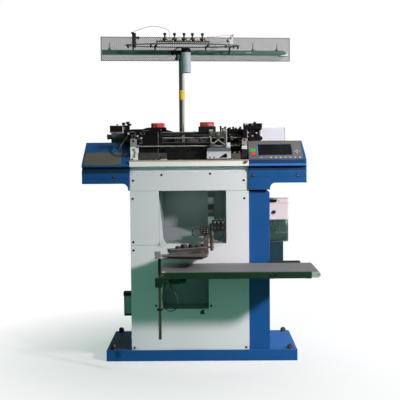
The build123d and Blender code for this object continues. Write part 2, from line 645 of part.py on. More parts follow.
SLOPE_RUN = RIGHT_SLOPE_TOP_Y - RIGHT_SLOPE_FRONT
SLOPE_RISE = RIGHT_DECK - RIGHT_SLOPE_LOW
SLOPE_LENGTH = hypot(SLOPE_RUN, SLOPE_RISE)
SLOPE_SIN = SLOPE_RISE / SLOPE_LENGTH
SLOPE_COS = SLOPE_RUN / SLOPE_LENGTH
CONTROL_PLANE = Plane(origin=(0, RIGHT_SLOPE_FRONT, RIGHT_SLOPE_LOW), x_dir=(1, 0, 0),
                      z_dir=(0, -SLOPE_SIN, SLOPE_COS))


def on_slope(x, up, width, height, low, thickness):
    """A flat block on the control slope, from a corner, its size and its height off the slope."""
    block = Pos(x + width / 2, up + height / 2, low + thickness / 2) * Box(width, height, thickness)
    return CONTROL_PLANE.location * block


def control_panel():
    """Bezel with screen, two push keys and raised film keys."""
    left = CABINET_RIGHT + BEZEL_SIDE
    bezel = on_slope(left, BEZEL_SIDE, BEZEL_WIDTH, SLOPE_LENGTH - 2 * BEZEL_SIDE, 0, BEZEL_THICK)
    openings = [(SCREEN_LEFT, SCREEN_LOW, SCREEN_WIDTH, SCREEN_HEIGHT),
                (KEY_X, START_KEY_LOW, KEY_WIDTH, START_KEY_HEIGHT),
                (KEY_X, STOP_KEY_LOW, KEY_WIDTH, STOP_KEY_HEIGHT)]
    for x, up, width, height in openings:
        bezel -= on_slope(x - KEY_GAP, up - KEY_GAP, width + 2 * KEY_GAP, height + 2 * KEY_GAP, -1, BEZEL_THICK + 2)
    film_keys = [on_slope(SCREEN_LEFT + 12.0 + FILM_KEY_PITCH * index, 11.0, 9.0, 8.0, BEZEL_THICK, FILM_KEY_RAISE)
                 for index in range(9)]
    for across, up in ((0, 1), (0, -1), (1, 0), (-1, 0)):
        film_keys.append(on_slope(ARROW_X + across * ARROW_REACH, ARROW_UP + up * ARROW_REACH, 7.0, 7.0,
                                  BEZEL_THICK, FILM_KEY_RAISE))
    for key in film_keys:
        bezel += key
    save("control_bezel", bezel)
    save("screen", on_slope(SCREEN_LEFT, SCREEN_LOW, SCREEN_WIDTH, SCREEN_HEIGHT, 0, BEZEL_THICK - 0.8))
    for name, up, height in (("start_key", START_KEY_LOW, START_KEY_HEIGHT), ("stop_key", STOP_KEY_LOW, STOP_KEY_HEIGHT)):
        key = on_slope(KEY_X, up, KEY_WIDTH, height, KEY_TRAVEL + 0.3, BEZEL_THICK + 0.5)
        save(name, key)


def end_brackets():
    """Bright cast brackets at the two ends of the carriage rail."""
    front = RAIL_Y - 58.0
    back = RAIL_Y + 14.0
    foot_left = CABINET_LEFT + 2.0
    left = box(foot_left, foot_left + 35.5, front, back, LEDGE_HEIGHT, RAIL_Z + 48.0)
    left += box(foot_left + 35.5, RAIL_LEFT, front, back, LEDGE_HEIGHT, RAIL_Z + 10.0)
    left -= rod((foot_left + 17.5, front - 1, RAIL_Z + 34.0), (foot_left + 17.5, back + 1, RAIL_Z + 34.0), 5.0)
    left -= box(foot_left + 9.5, foot_left + 27.5, front - 1, front + 10.0, LEDGE_HEIGHT + 23.0, RAIL_Z - 13.0)
    left = fillet(left.edges().filter_by(Axis.Y).group_by(Axis.Z)[-1], 8.0)
    right = box(RAIL_RIGHT, RAIL_RIGHT + 30.0, front, back, BRACKET_BLOCK_TOP, RAIL_Z + 45.0)
    right -= rod((RAIL_RIGHT + 14.0, front - 1, RAIL_Z + 35.0), (RAIL_RIGHT + 14.0, back + 1, RAIL_Z + 35.0), 4.5)
    right = fillet(right.edges().filter_by(Axis.Y).group_by(Axis.Z)[-1], 8.0)
    save("end_brackets", left, right)


def guide_rails():
    """Round carriage rail, two flat yarn rails, the rear rail, and the top beam with the right cap's base."""
    rails = [rod((RAIL_LEFT, RAIL_Y, RAIL_Z), (RAIL_RIGHT, RAIL_Y, RAIL_Z), RAIL_RADIUS)]
    for y, z in ((FEED_RAIL_1_Y, FEED_RAIL_1_Z), (FEED_RAIL_2_Y, FEED_RAIL_2_Z)):
        rails.append(box(HOUSING_RIGHT, END_FRAME_LEFT, y - FEED_RAIL_WIDTH / 2, y + FEED_RAIL_WIDTH / 2,
                         z - FEED_RAIL_HEIGHT / 2, z + FEED_RAIL_HEIGHT / 2))
    rails.append(box(HOUSING_RIGHT, END_FRAME_LEFT, REAR_RAIL_Y, REAR_RAIL_Y + REAR_RAIL_THICK,
                     RAIL_Z + 15.0 - REAR_RAIL_HEIGHT, RAIL_Z + 15.0))
    rails.append(box(HOUSING_RIGHT, SELECTOR_LEFT, TOP_BEAM_FRONT, TOP_BEAM_BACK, TOP_BEAM_Z, TOP_BEAM_TOP))
    cap_left = RIGHT_CAP_LEFT - 10.0
    rails.append(soft_box(cap_left, cap_left + CAP_WIDTH + 19.0, CAP_FRONT - 6.0, CAP_BACK + 6.0,
                          TOP_BEAM_TOP, TOP_BEAM_TOP + CAP_BASE_HEIGHT, 6.0))
    save("guide_rails", *rails)


def drive_housing():
    """Black housing of the carriage drive at the left, with its sloping belt cover."""
    body = box(CABINET_LEFT + 2, HOUSING_RIGHT, HOUSING_FRONT, HOUSING_BACK, LEDGE_HEIGHT, HOUSING_TOP)
    body += box(HOUSING_LEFT, CABINET_LEFT + 3, HOUSING_FRONT, HOUSING_BACK, LEFT_DECK, HOUSING_TOP - 12)
    body = fillet(body.edges().filter_by(Axis.Y).group_by(Axis.Z)[-1].sort_by(Axis.X)[-1], 10.0)
    plinth_top = HOUSING_TOP + CAP_PLINTH
    body += along_y([(HOUSING_RIGHT - 125, HOUSING_TOP), (HOUSING_RIGHT - 82, plinth_top),
                     (HOUSING_RIGHT + 30, plinth_top), (HOUSING_RIGHT + 30, HOUSING_TOP)], CAP_FRONT - 4, CAP_BACK + 2)
    body += along_y([(HOUSING_RIGHT, HOUSING_TOP + 8), (HOUSING_RIGHT + 77, TOP_BEAM_TOP),
                     (HOUSING_RIGHT, TOP_BEAM_TOP)], TOP_BEAM_FRONT, TOP_BEAM_BACK)
    boss_z = HOUSING_TOP - 25.0
    for x in (HOUSING_RIGHT - 105, HOUSING_RIGHT - 65, HOUSING_RIGHT - 35):
        body += rod((x, HOUSING_FRONT - 5, boss_z), (x, HOUSING_FRONT, boss_z), 6.0)
    save("drive_housing", body)


def right_end_frame():
    """Black end plate at the right, the block under its bracket, and the selector box behind the feeders."""
    body = box(END_FRAME_LEFT, CABINET_RIGHT - 2, HOUSING_FRONT, HOUSING_BACK, LEDGE_HEIGHT, HOUSING_TOP - 5)
    block_left = RAIL_RIGHT - 5.0
    block_right = block_left + 37.0
    block_front = RAIL_Y - 58.0
    body += box(block_left, block_right, block_front, HOUSING_FRONT, LEDGE_HEIGHT, BRACKET_BLOCK_TOP)
    body += box(SELECTOR_LEFT, END_FRAME_LEFT, TOP_BEAM_FRONT, TOP_BEAM_BACK + 85.0, SELECTOR_BOTTOM, HOUSING_TOP)
    for x in (SELECTOR_LEFT + 10, SELECTOR_LEFT + 43, SELECTOR_LEFT + 80):
        body += rod((x, TOP_BEAM_FRONT + 30, HOUSING_TOP), (x, TOP_BEAM_FRONT + 30, HOUSING_TOP + 7), 6.0)
    for rib in range(6):
        z = LEDGE_HEIGHT + 17.0 + 8.0 * rib
        body -= box(block_left + 1, block_right - 1, block_front - 1, block_front + 2, z, z + 3.5)
    save("right_end_frame", body)


def red_caps():
    """Two red moulded caps: the left on the housing, the right on its black base on the top beam."""
    caps = []
    for x_low, width, z_low in ((LEFT_CAP_LEFT, 83.0, HOUSING_TOP + CAP_PLINTH),
                                (RIGHT_CAP_LEFT, CAP_WIDTH, TOP_BEAM_TOP + CAP_BASE_HEIGHT)):
        cap = box(x_low, x_low + width, CAP_FRONT, CAP_BACK, z_low, z_low + CAP_HEIGHT)
        cap = fillet(cap.edges().filter_by(Axis.Z), 10.0)
        cap = fillet(cap.edges().group_by(Axis.Z)[-1], 4.0)
        caps.append(cap)
    save("red_caps", *caps)


def left_drive():
    """Motor on its gearbox at the far left, with hand knobs."""
    right = HOUSING_LEFT - 2.0
    left = right - 88.0
    top = LEFT_DECK + 60.0
    stub_z = LEFT_DECK + 36.0
    body = box(left, right, -40.0, 45.0, LEFT_DECK, top)
    body = fillet(body.edges().filter_by(Axis.Z), 5.0)
    body += rod((left - 27.0, 0, stub_z), (left, 0, stub_z), 15.0)
    body += rod((left - 27.0, 0, stub_z), (left - 21.0, 0, stub_z), 18.0)
    for y in (-25.0, 25.0):
        body += rod((left + 20.0, y, top - 1), (left + 20.0, y, top + 3), 5.0)
    save("gearbox", body)
    low = top + 3.0
    motor = box(left - 8, left + 68, -34.0, 36.0, low, low + 43)
    for fin in range(5):
        y = -32.0 + 15.0 * fin
        motor -= box(left - 9, left + 69, y, y + 5.0, low + 38, low + 44)
    motor += box(left + 68, left + 89, -20.0, 20.0, low + 5, low + 35)
    for x, y, high in ((left + 77, -8.0, low + 47), (left + 102, 6.0, low + 53)):
        motor += rod((x, y, low + 27), (x, y, high), 5.0)
        motor += rod((x, y, high), (x, y, high + 14.0), 11.0)
    motor += rod((left + 89, 6.0, low + 31), (left + 112, 6.0, low + 31), 9.0)
    save("drive_motor", motor)


def right_actuator():
    """Actuator on its stand on the right console's deck."""
    left = CABINET_RIGHT + 14.0
    deck = RIGHT_DECK
    low = deck + 72.0
    stand = box(left, left + 75, -30.0, 40.0, deck, deck + 7)
    stand += box(left - 6, left + 79, 10.0, 30.0, deck, low)
    stand += box(left + 9, left + 37, -24.0, 30.0, deck + 7, low)
    stand += box(left + 41, left + 73, -18.0, 36.0, deck + 7, deck + 39)
    stand += rod((left + 53, 0, deck + 39), (left + 53, 0, low), 9.0)
    body = box(left - 33, left + 82, -30.0, 34.0, low, low + 39)
    body = fillet(body.edges().filter_by(Axis.X), 4.0)
    for x in (left - 21, left - 3, left + 15):
        body -= rod((x, -31.0, low + 25), (x, -26.0, low + 25), 5.0)
    body += rod((left + 40, 0, low + 39), (left + 40, 0, low + 47), 7.0)
    save("right_actuator", stand + body)


def carriage():
    """Cast bridge with a V notch and a window, on a slider that runs on the rail; cam plate in front."""
    centre = (BRIDGE_LEFT + BRIDGE_RIGHT) / 2
    arm = 24.0
    waist = SHELF_TOP + 67.0
    outline = [(BRIDGE_LEFT + 8, SHELF_TOP), (BRIDGE_LEFT + 8, waist - 6), (BRIDGE_LEFT, waist + 2),
               (BRIDGE_LEFT, BRIDGE_TOP), (BRIDGE_LEFT + arm, BRIDGE_TOP), (centre - 15, waist + 20),
               (centre - 8, waist + 15), (centre + 8, waist + 15), (centre + 15, waist + 20),
               (BRIDGE_RIGHT - arm, BRIDGE_TOP), (BRIDGE_RIGHT, BRIDGE_TOP), (BRIDGE_RIGHT, SHELF_TOP)]
    bridge = along_y(outline, BRIDGE_FRONT, BRIDGE_FRONT + BRIDGE_THICK)
    window = along_y([(centre - 30, SHELF_TOP + 17), (centre + 30, SHELF_TOP + 17), (centre, SHELF_TOP + 42)],
                     BRIDGE_FRONT - 1, BRIDGE_FRONT + BRIDGE_THICK + 6)
    for side in (-1, 1):
        opening = [(centre + 37 * side, waist + 6), (centre + 37 * side, waist - 30), (centre + 26 * side, waist - 34),
                   (centre + 7 * side, waist - 18), (centre + 20 * side, waist)]
        bridge -= along_y(opening, BRIDGE_FRONT - 1, BRIDGE_FRONT + BRIDGE_THICK + 1)
    slider = box(BRIDGE_LEFT + 8, BRIDGE_RIGHT, BRIDGE_FRONT + BRIDGE_THICK, RAIL_Y + 14, SHELF_TOP - 6, RAIL_Z + 13)
    slider -= rod((BRIDGE_LEFT, RAIL_Y, RAIL_Z), (BRIDGE_RIGHT + 1, RAIL_Y, RAIL_Z), RAIL_RADIUS + RUNNING)
    save("carriage_bridge", (bridge + slider) - window)
    shelf = along_x([(CAM_FRONT, SHELF_BOTTOM), (CAM_FRONT + 3, SHELF_TOP), (BRIDGE_FRONT + BRIDGE_THICK, SHELF_TOP),
                     (BRIDGE_FRONT + BRIDGE_THICK, SHELF_BOTTOM + 8), (CAM_FRONT + CAM_THICK, SHELF_BOTTOM)],
                    CAM_LEFT + 2, CAM_RIGHT - 2)
    plate = box(CAM_LEFT, CAM_RIGHT, CAM_FRONT, CAM_FRONT + CAM_THICK, CAM_BOTTOM, SHELF_BOTTOM)
    hole_z = CAM_BOTTOM + 7.0
    for x in (CAM_LEFT + 17, CAM_LEFT + 43):
        plate -= rod((x, CAM_FRONT - 1, hole_z), (x, CAM_FRONT + CAM_THICK + 1, hole_z), 4.5)
    plate -= along_y([(CAM_LEFT + 72, CAM_BOTTOM + 4), (CAM_LEFT + 115, CAM_BOTTOM + 33),
                      (CAM_LEFT + 124, CAM_BOTTOM + 12), (CAM_LEFT + 118, CAM_BOTTOM + 4)],
                     CAM_FRONT - 1, CAM_FRONT + CAM_THICK + 1)
    sensor = box(BRIDGE_RIGHT, CAM_RIGHT - 3, BRIDGE_FRONT, BRIDGE_FRONT + 20, SHELF_TOP, SHELF_TOP + 32)
    save("cam_plate", plate + shelf, sensor)


def feeder(x, rail_y, rail_z, throat_side, above):
    """A yarn feeder: a block on a flat rail and a tube down to the throat."""
    gap = KEY_GAP
    half = FEEDER_WIDTH / 2
    block = box(x - half, x + half, rail_y - 14, rail_y + 14, rail_z - 15, rail_z + above)
    block = fillet(block.edges().filter_by(Axis.Y).group_by(Axis.Z)[-1], 4.0)
    block -= box(x - half - 1, x + half + 1, rail_y - FEED_RAIL_WIDTH / 2 - gap, rail_y + FEED_RAIL_WIDTH / 2 + gap,
                 rail_z - FEED_RAIL_HEIGHT / 2 - gap, rail_z + FEED_RAIL_HEIGHT / 2 + gap)
    start = (x, rail_y + 10 * throat_side, rail_z - 10)
    end = (x, THROAT_CENTRE - 14 * throat_side, RIDGE_HEIGHT + 24)
    arm = rod(start, end, 3.0)
    screw = rod((x, rail_y - 19, rail_z + 2), (x, rail_y - 13, rail_z + 2), 5.0)
    return block + arm + screw


def creel_place(shape):
    """Turn a piece of the creel from the beam's own line to its real angle on the mast."""
    return Pos(MAST_X, MAST_Y, 0) * Rot(0, 0, CREEL_YAW) * shape


def mast():
    """Chrome tube up to the creel beam, and the clamped socket that holds it on the rear table."""
    tall = tube((MAST_X, MAST_Y, LEDGE_HEIGHT), (MAST_X, MAST_Y, BEAM_BOTTOM), MAST_RADIUS, MAST_RADIUS - MAST_WALL)
    socket = soft_box(MAST_X - 40, MAST_X + 40, MAST_Y - 32, MAST_Y + 36, LEDGE_HEIGHT, LEDGE_HEIGHT + 10, 8.0)
    socket += rod((MAST_X, MAST_Y, LEDGE_HEIGHT), (MAST_X, MAST_Y, LEDGE_HEIGHT + SOCKET_HEIGHT), MAST_RADIUS + 9)
    socket -= rod((MAST_X, MAST_Y, LEDGE_HEIGHT - 1), (MAST_X, MAST_Y, LEDGE_HEIGHT + SOCKET_HEIGHT + 1), MAST_RADIUS)
    save("mast", tall, socket)


BEAM_FRONT = -BEAM_DEPTH / 2 - MAST_RADIUS
BEAM_TOP = BEAM_BOTTOM + BEAM_HEIGHT
TENSION_POSTS = (-172.0, 152.0)
TENSION_Y = RING_CENTRE - RING_DEPTH / 2 - 14.0
END_BLOCKS = ((50.0 - RING_LENGTH / 2 - 9.0, 24.0, 76.0), (RING_LENGTH / 2 - 65.0, 25.0, 60.0))


def creel_beam():
    """Green box beam with cone spindles, ring posts, mast saddle and screen straps; eyelet plate in front."""
    beam = box(BEAM_LEFT, BEAM_RIGHT - 22, BEAM_FRONT - BEAM_DEPTH / 2, BEAM_FRONT + BEAM_DEPTH / 2, BEAM_BOTTOM, BEAM_TOP)
    beam += box(-30.0, 30.0, BEAM_FRONT + BEAM_DEPTH / 2, MAST_RADIUS, BEAM_BOTTOM, BEAM_TOP)
    for x, rise in ((BEAM_LEFT + 48, 47.0), (BEAM_RIGHT - 223, 50.0), (BEAM_RIGHT - 67, 37.0)):
        beam += rod((x, BEAM_FRONT, BEAM_TOP - 1), (x, BEAM_FRONT, BEAM_TOP + rise), 2.5)
        beam += Pos(x, BEAM_FRONT, BEAM_TOP) * Cone(14.0, 5.0, 12.0, align=(Align.CENTER, Align.CENTER, Align.MIN))
    half = RING_POST_HALF
    arm_low = RING_HEIGHT - 2 * half
    arm_high = RING_HEIGHT - RING_ROD
    for x in TENSION_POSTS:
        beam += box(x - half, x + half, BEAM_FRONT - 6, BEAM_FRONT + 6, BEAM_TOP - 1, RING_HEIGHT + 6)
        beam += box(x - half, x + half, RING_CENTRE - RING_DEPTH / 2, BEAM_FRONT, arm_low, arm_high)
    for x in (50.0 - RING_LENGTH / 2, RING_LENGTH / 2 - 55.0):
        beam += box(x - half, x + half, BEAM_FRONT - 6, BEAM_FRONT + 6, BEAM_TOP - 1, arm_high)
        beam += box(x - half, x + half, RING_CENTRE, BEAM_FRONT, arm_low, arm_high)
    back = MAST_RADIUS + SCREEN_PANEL_BACK
    for x_low, x_high in ((BEAM_RIGHT - 44, BEAM_RIGHT), (-60.0, -34.0)):
        beam += box(x_low, x_high, BEAM_FRONT + BEAM_DEPTH / 2 - 1, back, BEAM_BOTTOM - 5, BEAM_BOTTOM - 2)
        beam += box(x_low, x_high, BEAM_FRONT + BEAM_DEPTH / 2 - 1, BEAM_FRONT + BEAM_DEPTH / 2 + 3,
                    BEAM_BOTTOM - 5, BEAM_TOP - 3)
    face = BEAM_FRONT - BEAM_DEPTH / 2
    low = BEAM_BOTTOM
    plate = along_y([(-72, BEAM_TOP - 3), (-16, BEAM_TOP - 3), (-14, low - 2.5), (-28, low - 24.5), (-30, low - 36.5),
                     (-44, low - 36.5), (-48, low - 24.5), (-70, low - 0.5)], face - 4, face)
    solids = [beam, plate]
    for x in (-53.0, -25.0):
        solids.append(tube((x, face - 10, low - 13.5), (x, face - 4, low - 13.5), 9.5, 4.5))
    save("creel_beam", *[creel_place(solid) for solid in solids])


def yarn_screen():
    """Perforated sheet behind the yarns, on the beam's two straps."""
    width = SCREEN_PANEL_RIGHT - SCREEN_PANEL_LEFT
    back = MAST_RADIUS + SCREEN_PANEL_BACK
    panel = box(SCREEN_PANEL_LEFT, SCREEN_PANEL_RIGHT, back, back + SCREEN_PANEL_THICK,
                SCREEN_PANEL_BOTTOM, SCREEN_PANEL_BOTTOM + SCREEN_PANEL_HEIGHT)
    pitch_x = (width - 20) / SCREEN_COLUMNS
    pitch_z = (SCREEN_PANEL_HEIGHT - 16) / SCREEN_ROWS
    holes = []
    for column in range(SCREEN_COLUMNS):
        for row in range(SCREEN_ROWS):
            x = SCREEN_PANEL_LEFT + 10 + pitch_x * column
            z = SCREEN_PANEL_BOTTOM + 8 + pitch_z * row
            holes.append(box(x + 5, x + pitch_x - 5, back - 1, back + SCREEN_PANEL_THICK + 1, z + 6, z + pitch_z - 6))
    save("yarn_screen", creel_place(panel - holes))


def ring_frame():
    """Oval ring of green rod that spreads the yarns, with black stoppers clipped under it."""
    half = RING_LENGTH / 2
    path = Pos(0, RING_CENTRE, 0) * Ellipse(half, RING_DEPTH / 2).edges()[0]
    plane = Plane(origin=(half, RING_CENTRE, 0), z_dir=(0, 1, 0))
    ring = sweep(plane * Circle(RING_ROD), path=path)
    ring = Pos(0, 0, RING_HEIGHT) * ring
    stoppers = []
    for angle in (196, 212, 235, 318, 332, 345):
        x = half * cos(radians(angle))
        y = RING_CENTRE + RING_DEPTH / 2 * sin(radians(angle))
        stoppers.append(rod((x, y, RING_HEIGHT - RING_ROD - 18), (x, y, RING_HEIGHT - RING_ROD + 1), 6.0))
    for stopper in stoppers:
        ring += stopper
    save("ring_frame", creel_place(ring))


def creel_heads():
    """Five tension units on their rail in front of the ring, and the two end blocks on the ring."""
    left, right = TENSION_POSTS
    ring_front = RING_CENTRE - RING_DEPTH / 2
    rail_y = TENSION_Y
    half = RING_POST_HALF
    base = RING_HEIGHT
    rail = box(left + 22, right - 12, rail_y - half, rail_y + half, base + 6, base + 18)
    for x in TENSION_POSTS:
        rail += box(x - half, x + half, rail_y - half, ring_front, base - 2 * half, base - RING_ROD)
        rail += box(x - half, x + half, rail_y - half, rail_y + half, base - 2 * half, base + 18)
    rail += box(left, right, rail_y - half, rail_y + half, base + 8, base + 16)
    for x in (-122.0, -62.0, -3.0, 49.0, 111.0):
        for low, high, radius in ((16, 54, 4.0), (24, 27, 15.0), (29, 32, 15.0), (50, 64, 8.0)):
            rail += rod((x, rail_y, base + low), (x, rail_y, base + high), radius)
    solids = [rail]
    for x_low, width, height in END_BLOCKS:
        x_high = x_low + width
        top = base + height
        block = box(x_low, x_high, RING_CENTRE - 12, RING_CENTRE + 12, base - RING_ROD, top)
        block = fillet(block.edges().filter_by(Axis.Y).group_by(Axis.Z)[-1], 6.0)
        block -= rod((x_low + 8, RING_CENTRE - 13, top - 14), (x_low + 8, RING_CENTRE + 13, top - 14), 3.5)
        knob_x = x_high if x_low < 0 else x_low
        toward = 1 if x_low < 0 else -1
        block += rod((knob_x, RING_CENTRE, top - 28), (knob_x + 13 * toward, RING_CENTRE, top - 28), 6.0)
        solids.append(block)
    save("tension_units", *[creel_place(solid) for solid in solids])


def guide_wires():
    """Thin sprung wires that carry the yarns from the end blocks to the tension units."""
    base = RING_HEIGHT
    (left_x, left_width, left_rise), (right_x, right_width, right_rise) = END_BLOCKS
    left_top = base + left_rise
    right_top = base + right_rise
    left_x += left_width / 2
    right_x += right_width / 2
    middle = RING_CENTRE
    left = [(left_x, middle, left_top), (left_x, middle, left_top + 10), (left_x + 61, middle - 20, left_top + 29),
            (left_x + 103, middle - 36, left_top + 39), (left_x + 145, middle - 54, left_top + 33),
            (left_x + 178, middle - 76, left_top + 23), (-94, TENSION_Y, left_top + 6), (-94, TENSION_Y, base + 18)]
    right = [(right_x, middle, right_top), (right_x, middle, right_top + 6), (right_x - 48, middle - 36, right_top),
             (right_x - 108, middle - 76, right_top - 14), (132, TENSION_Y, right_top - 20),
             (132, TENSION_Y, base + 18)]
    solids = []
    for route in (left, right):
        path = FilletPolyline(*route, radius=corner_radii(route))
        start = Plane(origin=route[0], z_dir=Vector(*route[1]) - Vector(*route[0]))
        solids.append(creel_place(sweep(start * Circle(1.2), path=path)))
    save("guide_wires", *solids)


def oil_bottle():
    """Frosted oil bottle with a ribbed cap, hung on the front of the beam."""
    face = BEAM_FRONT - BEAM_DEPTH / 2
    x = 19.5
    y = face - BOTTLE_RADIUS - 0.5
    top = BEAM_BOTTOM + 9.0
    bottle = rod((x, y, top - BOTTLE_HEIGHT), (x, y, top), BOTTLE_RADIUS)
    bottle = fillet(bottle.edges().group_by(Axis.Z)[-1], 6.0)
    bottle = fillet(bottle.edges().group_by(Axis.Z)[0], 3.0)
    bottle += rod((x, y, top - 1.5), (x, y, BEAM_TOP + 8), BOTTLE_CAP_RADIUS)
    bottle += box(x - 12, x + 12, y, face, top + 0.5, BEAM_TOP - 4)
    save("oil_bottle", creel_place(bottle))


def side_oiler():
    """Lubricator on the column's right side: bracket, clear reservoir and white cover."""
    low = RESERVOIR_LOW
    seam = low + RESERVOIR_HEIGHT
    top = seam + OILER_COVER_HEIGHT
    inside = COLUMN_RIGHT + SHEET
    right = inside + RESERVOIR_WIDTH
    half = RESERVOIR_HALF
    wall = OILER_WALL
    bracket = box(COLUMN_RIGHT, inside, -half - 1, half + 1, low - 160, low + 250)
    bracket += box(COLUMN_RIGHT, right - 32, -half + 2, half - 2, low - 160, low)
    save("oiler_bracket", bracket)
    reservoir = soft_box(inside, right, -half, half, low, seam, 10.0)
    inner = soft_box(inside + wall, right - wall, -half + wall, half - wall, low + wall, seam + 1, 6.0)
    save("oiler_reservoir", reservoir - inner)
    cover = soft_box(inside, right + 3, -half - 2, half + 2, seam, top, 8.0)
    cover -= soft_box(inside + wall, right + 3 - wall - 1, -half + 3, half - 3, seam - 1, top - wall - 2, 5.0)
    knob_x = inside + 40.0
    cover += rod((knob_x, -half - 10, seam + 47), (knob_x, -half, seam + 47), 11.0)
    save("oiler_cover", cover)


def junction_box():
    """Small cable box with a lid on the cabinet's left side."""
    left = CABINET_LEFT - JUNCTION_WIDTH
    lid = JUNCTION_LOW + JUNCTION_HEIGHT
    body = soft_box(left, CABINET_LEFT, 20.0, 90.0, JUNCTION_LOW, lid, 5.0)
    body += soft_box(left - 3, CABINET_LEFT, 17.0, 93.0, lid, lid + 22, 5.0)
    body -= box(left + 19, left + 59, 19.0, 21.0, JUNCTION_LOW + 28, JUNCTION_LOW + 98)
    save("junction_box", body)


def take_off():
    """Take-off device in the window: column, valves with their rod, grip bracket, lifting clamp and tray."""
    column_top = TABLE_HEIGHT - CHUTE_SHEET
    left = PIVOT_X - 21.0
    right = PIVOT_X + 16.0
    back = GUIDE_FRONT + GUIDE_DEPTH
    column = box(left, right, GUIDE_FRONT, back, GUIDE_LOW, column_top)
    for share in (0.237, 0.333, 0.623):
        z = GUIDE_LOW + share * (column_top - GUIDE_LOW)
        column -= box(left - 1, right + 1, GUIDE_FRONT - 1, GUIDE_FRONT + 4, z, z + 6.0)
    column += box(PIVOT_X - 10, PIVOT_X + 12, FRONT - 30, back, GUIDE_LOW, GUIDE_LOW + 22)
    save("guide_column", column)

    valve_left = PIVOT_X + 2.0
    valve_front = FRONT - 70.0
    low = VALVE_LOW
    valves = box(valve_left, valve_left + 77, valve_front, FRONT - 30, low, low + VALVE_HEIGHT)
    for index in range(3):
        x = valve_left + 8.0 + 23.0 * index
        valves += rod((x + 8, valve_front - 6, low + 53), (x + 8, valve_front, low + 53), 7.0)
        valves -= box(x + 17, x + 20, valve_front - 1, valve_front + 5, low + 3, low + VALVE_HEIGHT - 2)
    valves += box(PIVOT_X - 14, valve_left, PIVOT_Y - 12, PIVOT_Y + 12, low + 3, low + 45)
    valves += rod((PIVOT_X, PIVOT_Y, TRAY_TOP + 6), (PIVOT_X, PIVOT_Y, low + 45), PIVOT_RADIUS)
    save("valve_block", valves)

    upright = box(PIVOT_X - 48, PIVOT_X - 20, PIVOT_Y - 5, PIVOT_Y + 5, TRAY_TOP, GRIP_TOP)
    hole_z = GRIP_TOP - 44.0
    upright -= rod((PIVOT_X - 34, PIVOT_Y - 6, hole_z), (PIVOT_X - 34, PIVOT_Y + 6, hole_z), 6.0)
    grip_low = GRIP_TOP - 14.0
    gripper = box(PIVOT_X - 66, PIVOT_X - 18, PIVOT_Y - 20, PIVOT_Y + 4, grip_low, grip_low + 45)
    for rise in (8.0, 20.0, 32.0):
        z = grip_low + rise
        gripper -= box(PIVOT_X - 67, PIVOT_X - 17, PIVOT_Y - 21, PIVOT_Y - 17, z, z + 4.0)
    for z in (TRAY_TOP + 21, GRIP_TOP - 20):
        upright += tube((PIVOT_X, PIVOT_Y, z), (PIVOT_X, PIVOT_Y, z + 13), PIVOT_RADIUS + 4, PIVOT_RADIUS)
        upright += box(PIVOT_X - 21, PIVOT_X - PIVOT_RADIUS - 1, PIVOT_Y - 5, PIVOT_Y + 5, z, z + 13)
    save("grip_bracket", upright + gripper)

    reach = Pos(PIVOT_X, PIVOT_Y, 0) * Rot(0, 0, CLAMP_YAW)
    blade = box(-288.0, -52.0, -30.0, 26.0, CLAMP_TOP - 3.0, CLAMP_TOP)
    blade += box(-284.0, -58.0, -22.0, 18.0, CLAMP_TOP - 22.0, CLAMP_TOP - 3.0)
    blade = fillet(blade.edges().filter_by(Axis.Z), 3.0)
    lug = box(PIVOT_X - 66, PIVOT_X - 48 - KEY_GAP, PIVOT_Y - 28, PIVOT_Y + 10, CLAMP_TOP - 18, CLAMP_TOP + 14)
    solids = [reach * blade + lug]
    for x, radius, height in ((-228.0, 15.0, 15.0), (-187.0, 22.0, 23.0), (-139.0, 20.0, 23.0), (-96.0, 16.0, 16.0)):
        pad = Pos(x, -4.0, CLAMP_TOP) * Cylinder(radius, height, align=(Align.CENTER, Align.CENTER, Align.MIN))
        solids.append(reach * fillet(pad.edges().group_by(Axis.Z)[-1], 0.5 * radius))
    save("upper_clamp", *solids)

    outlines = [[(-287, -269), (-48, -300), (-19, -168), (-20, 0), (-214, 0), (-249, -122)],
                [(-254, -220), (-64, -240), (-44, -168), (-44, 0), (-194, 0), (-224, -122)],
                [(-282, -265), (-56, -295), (-24, -168), (-26, 0), (-209, 0), (-244, -122)]]
    top = TRAY_TOP
    tray = None
    for outline, thick in zip(outlines, (3.0, 11.0, 3.0)):
        layer = along_z([(PIVOT_X + x, FRONT + y) for x, y in outline], top - thick, top)
        tray = layer if tray is None else tray + layer
        top -= thick
    save("lower_tray", tray)


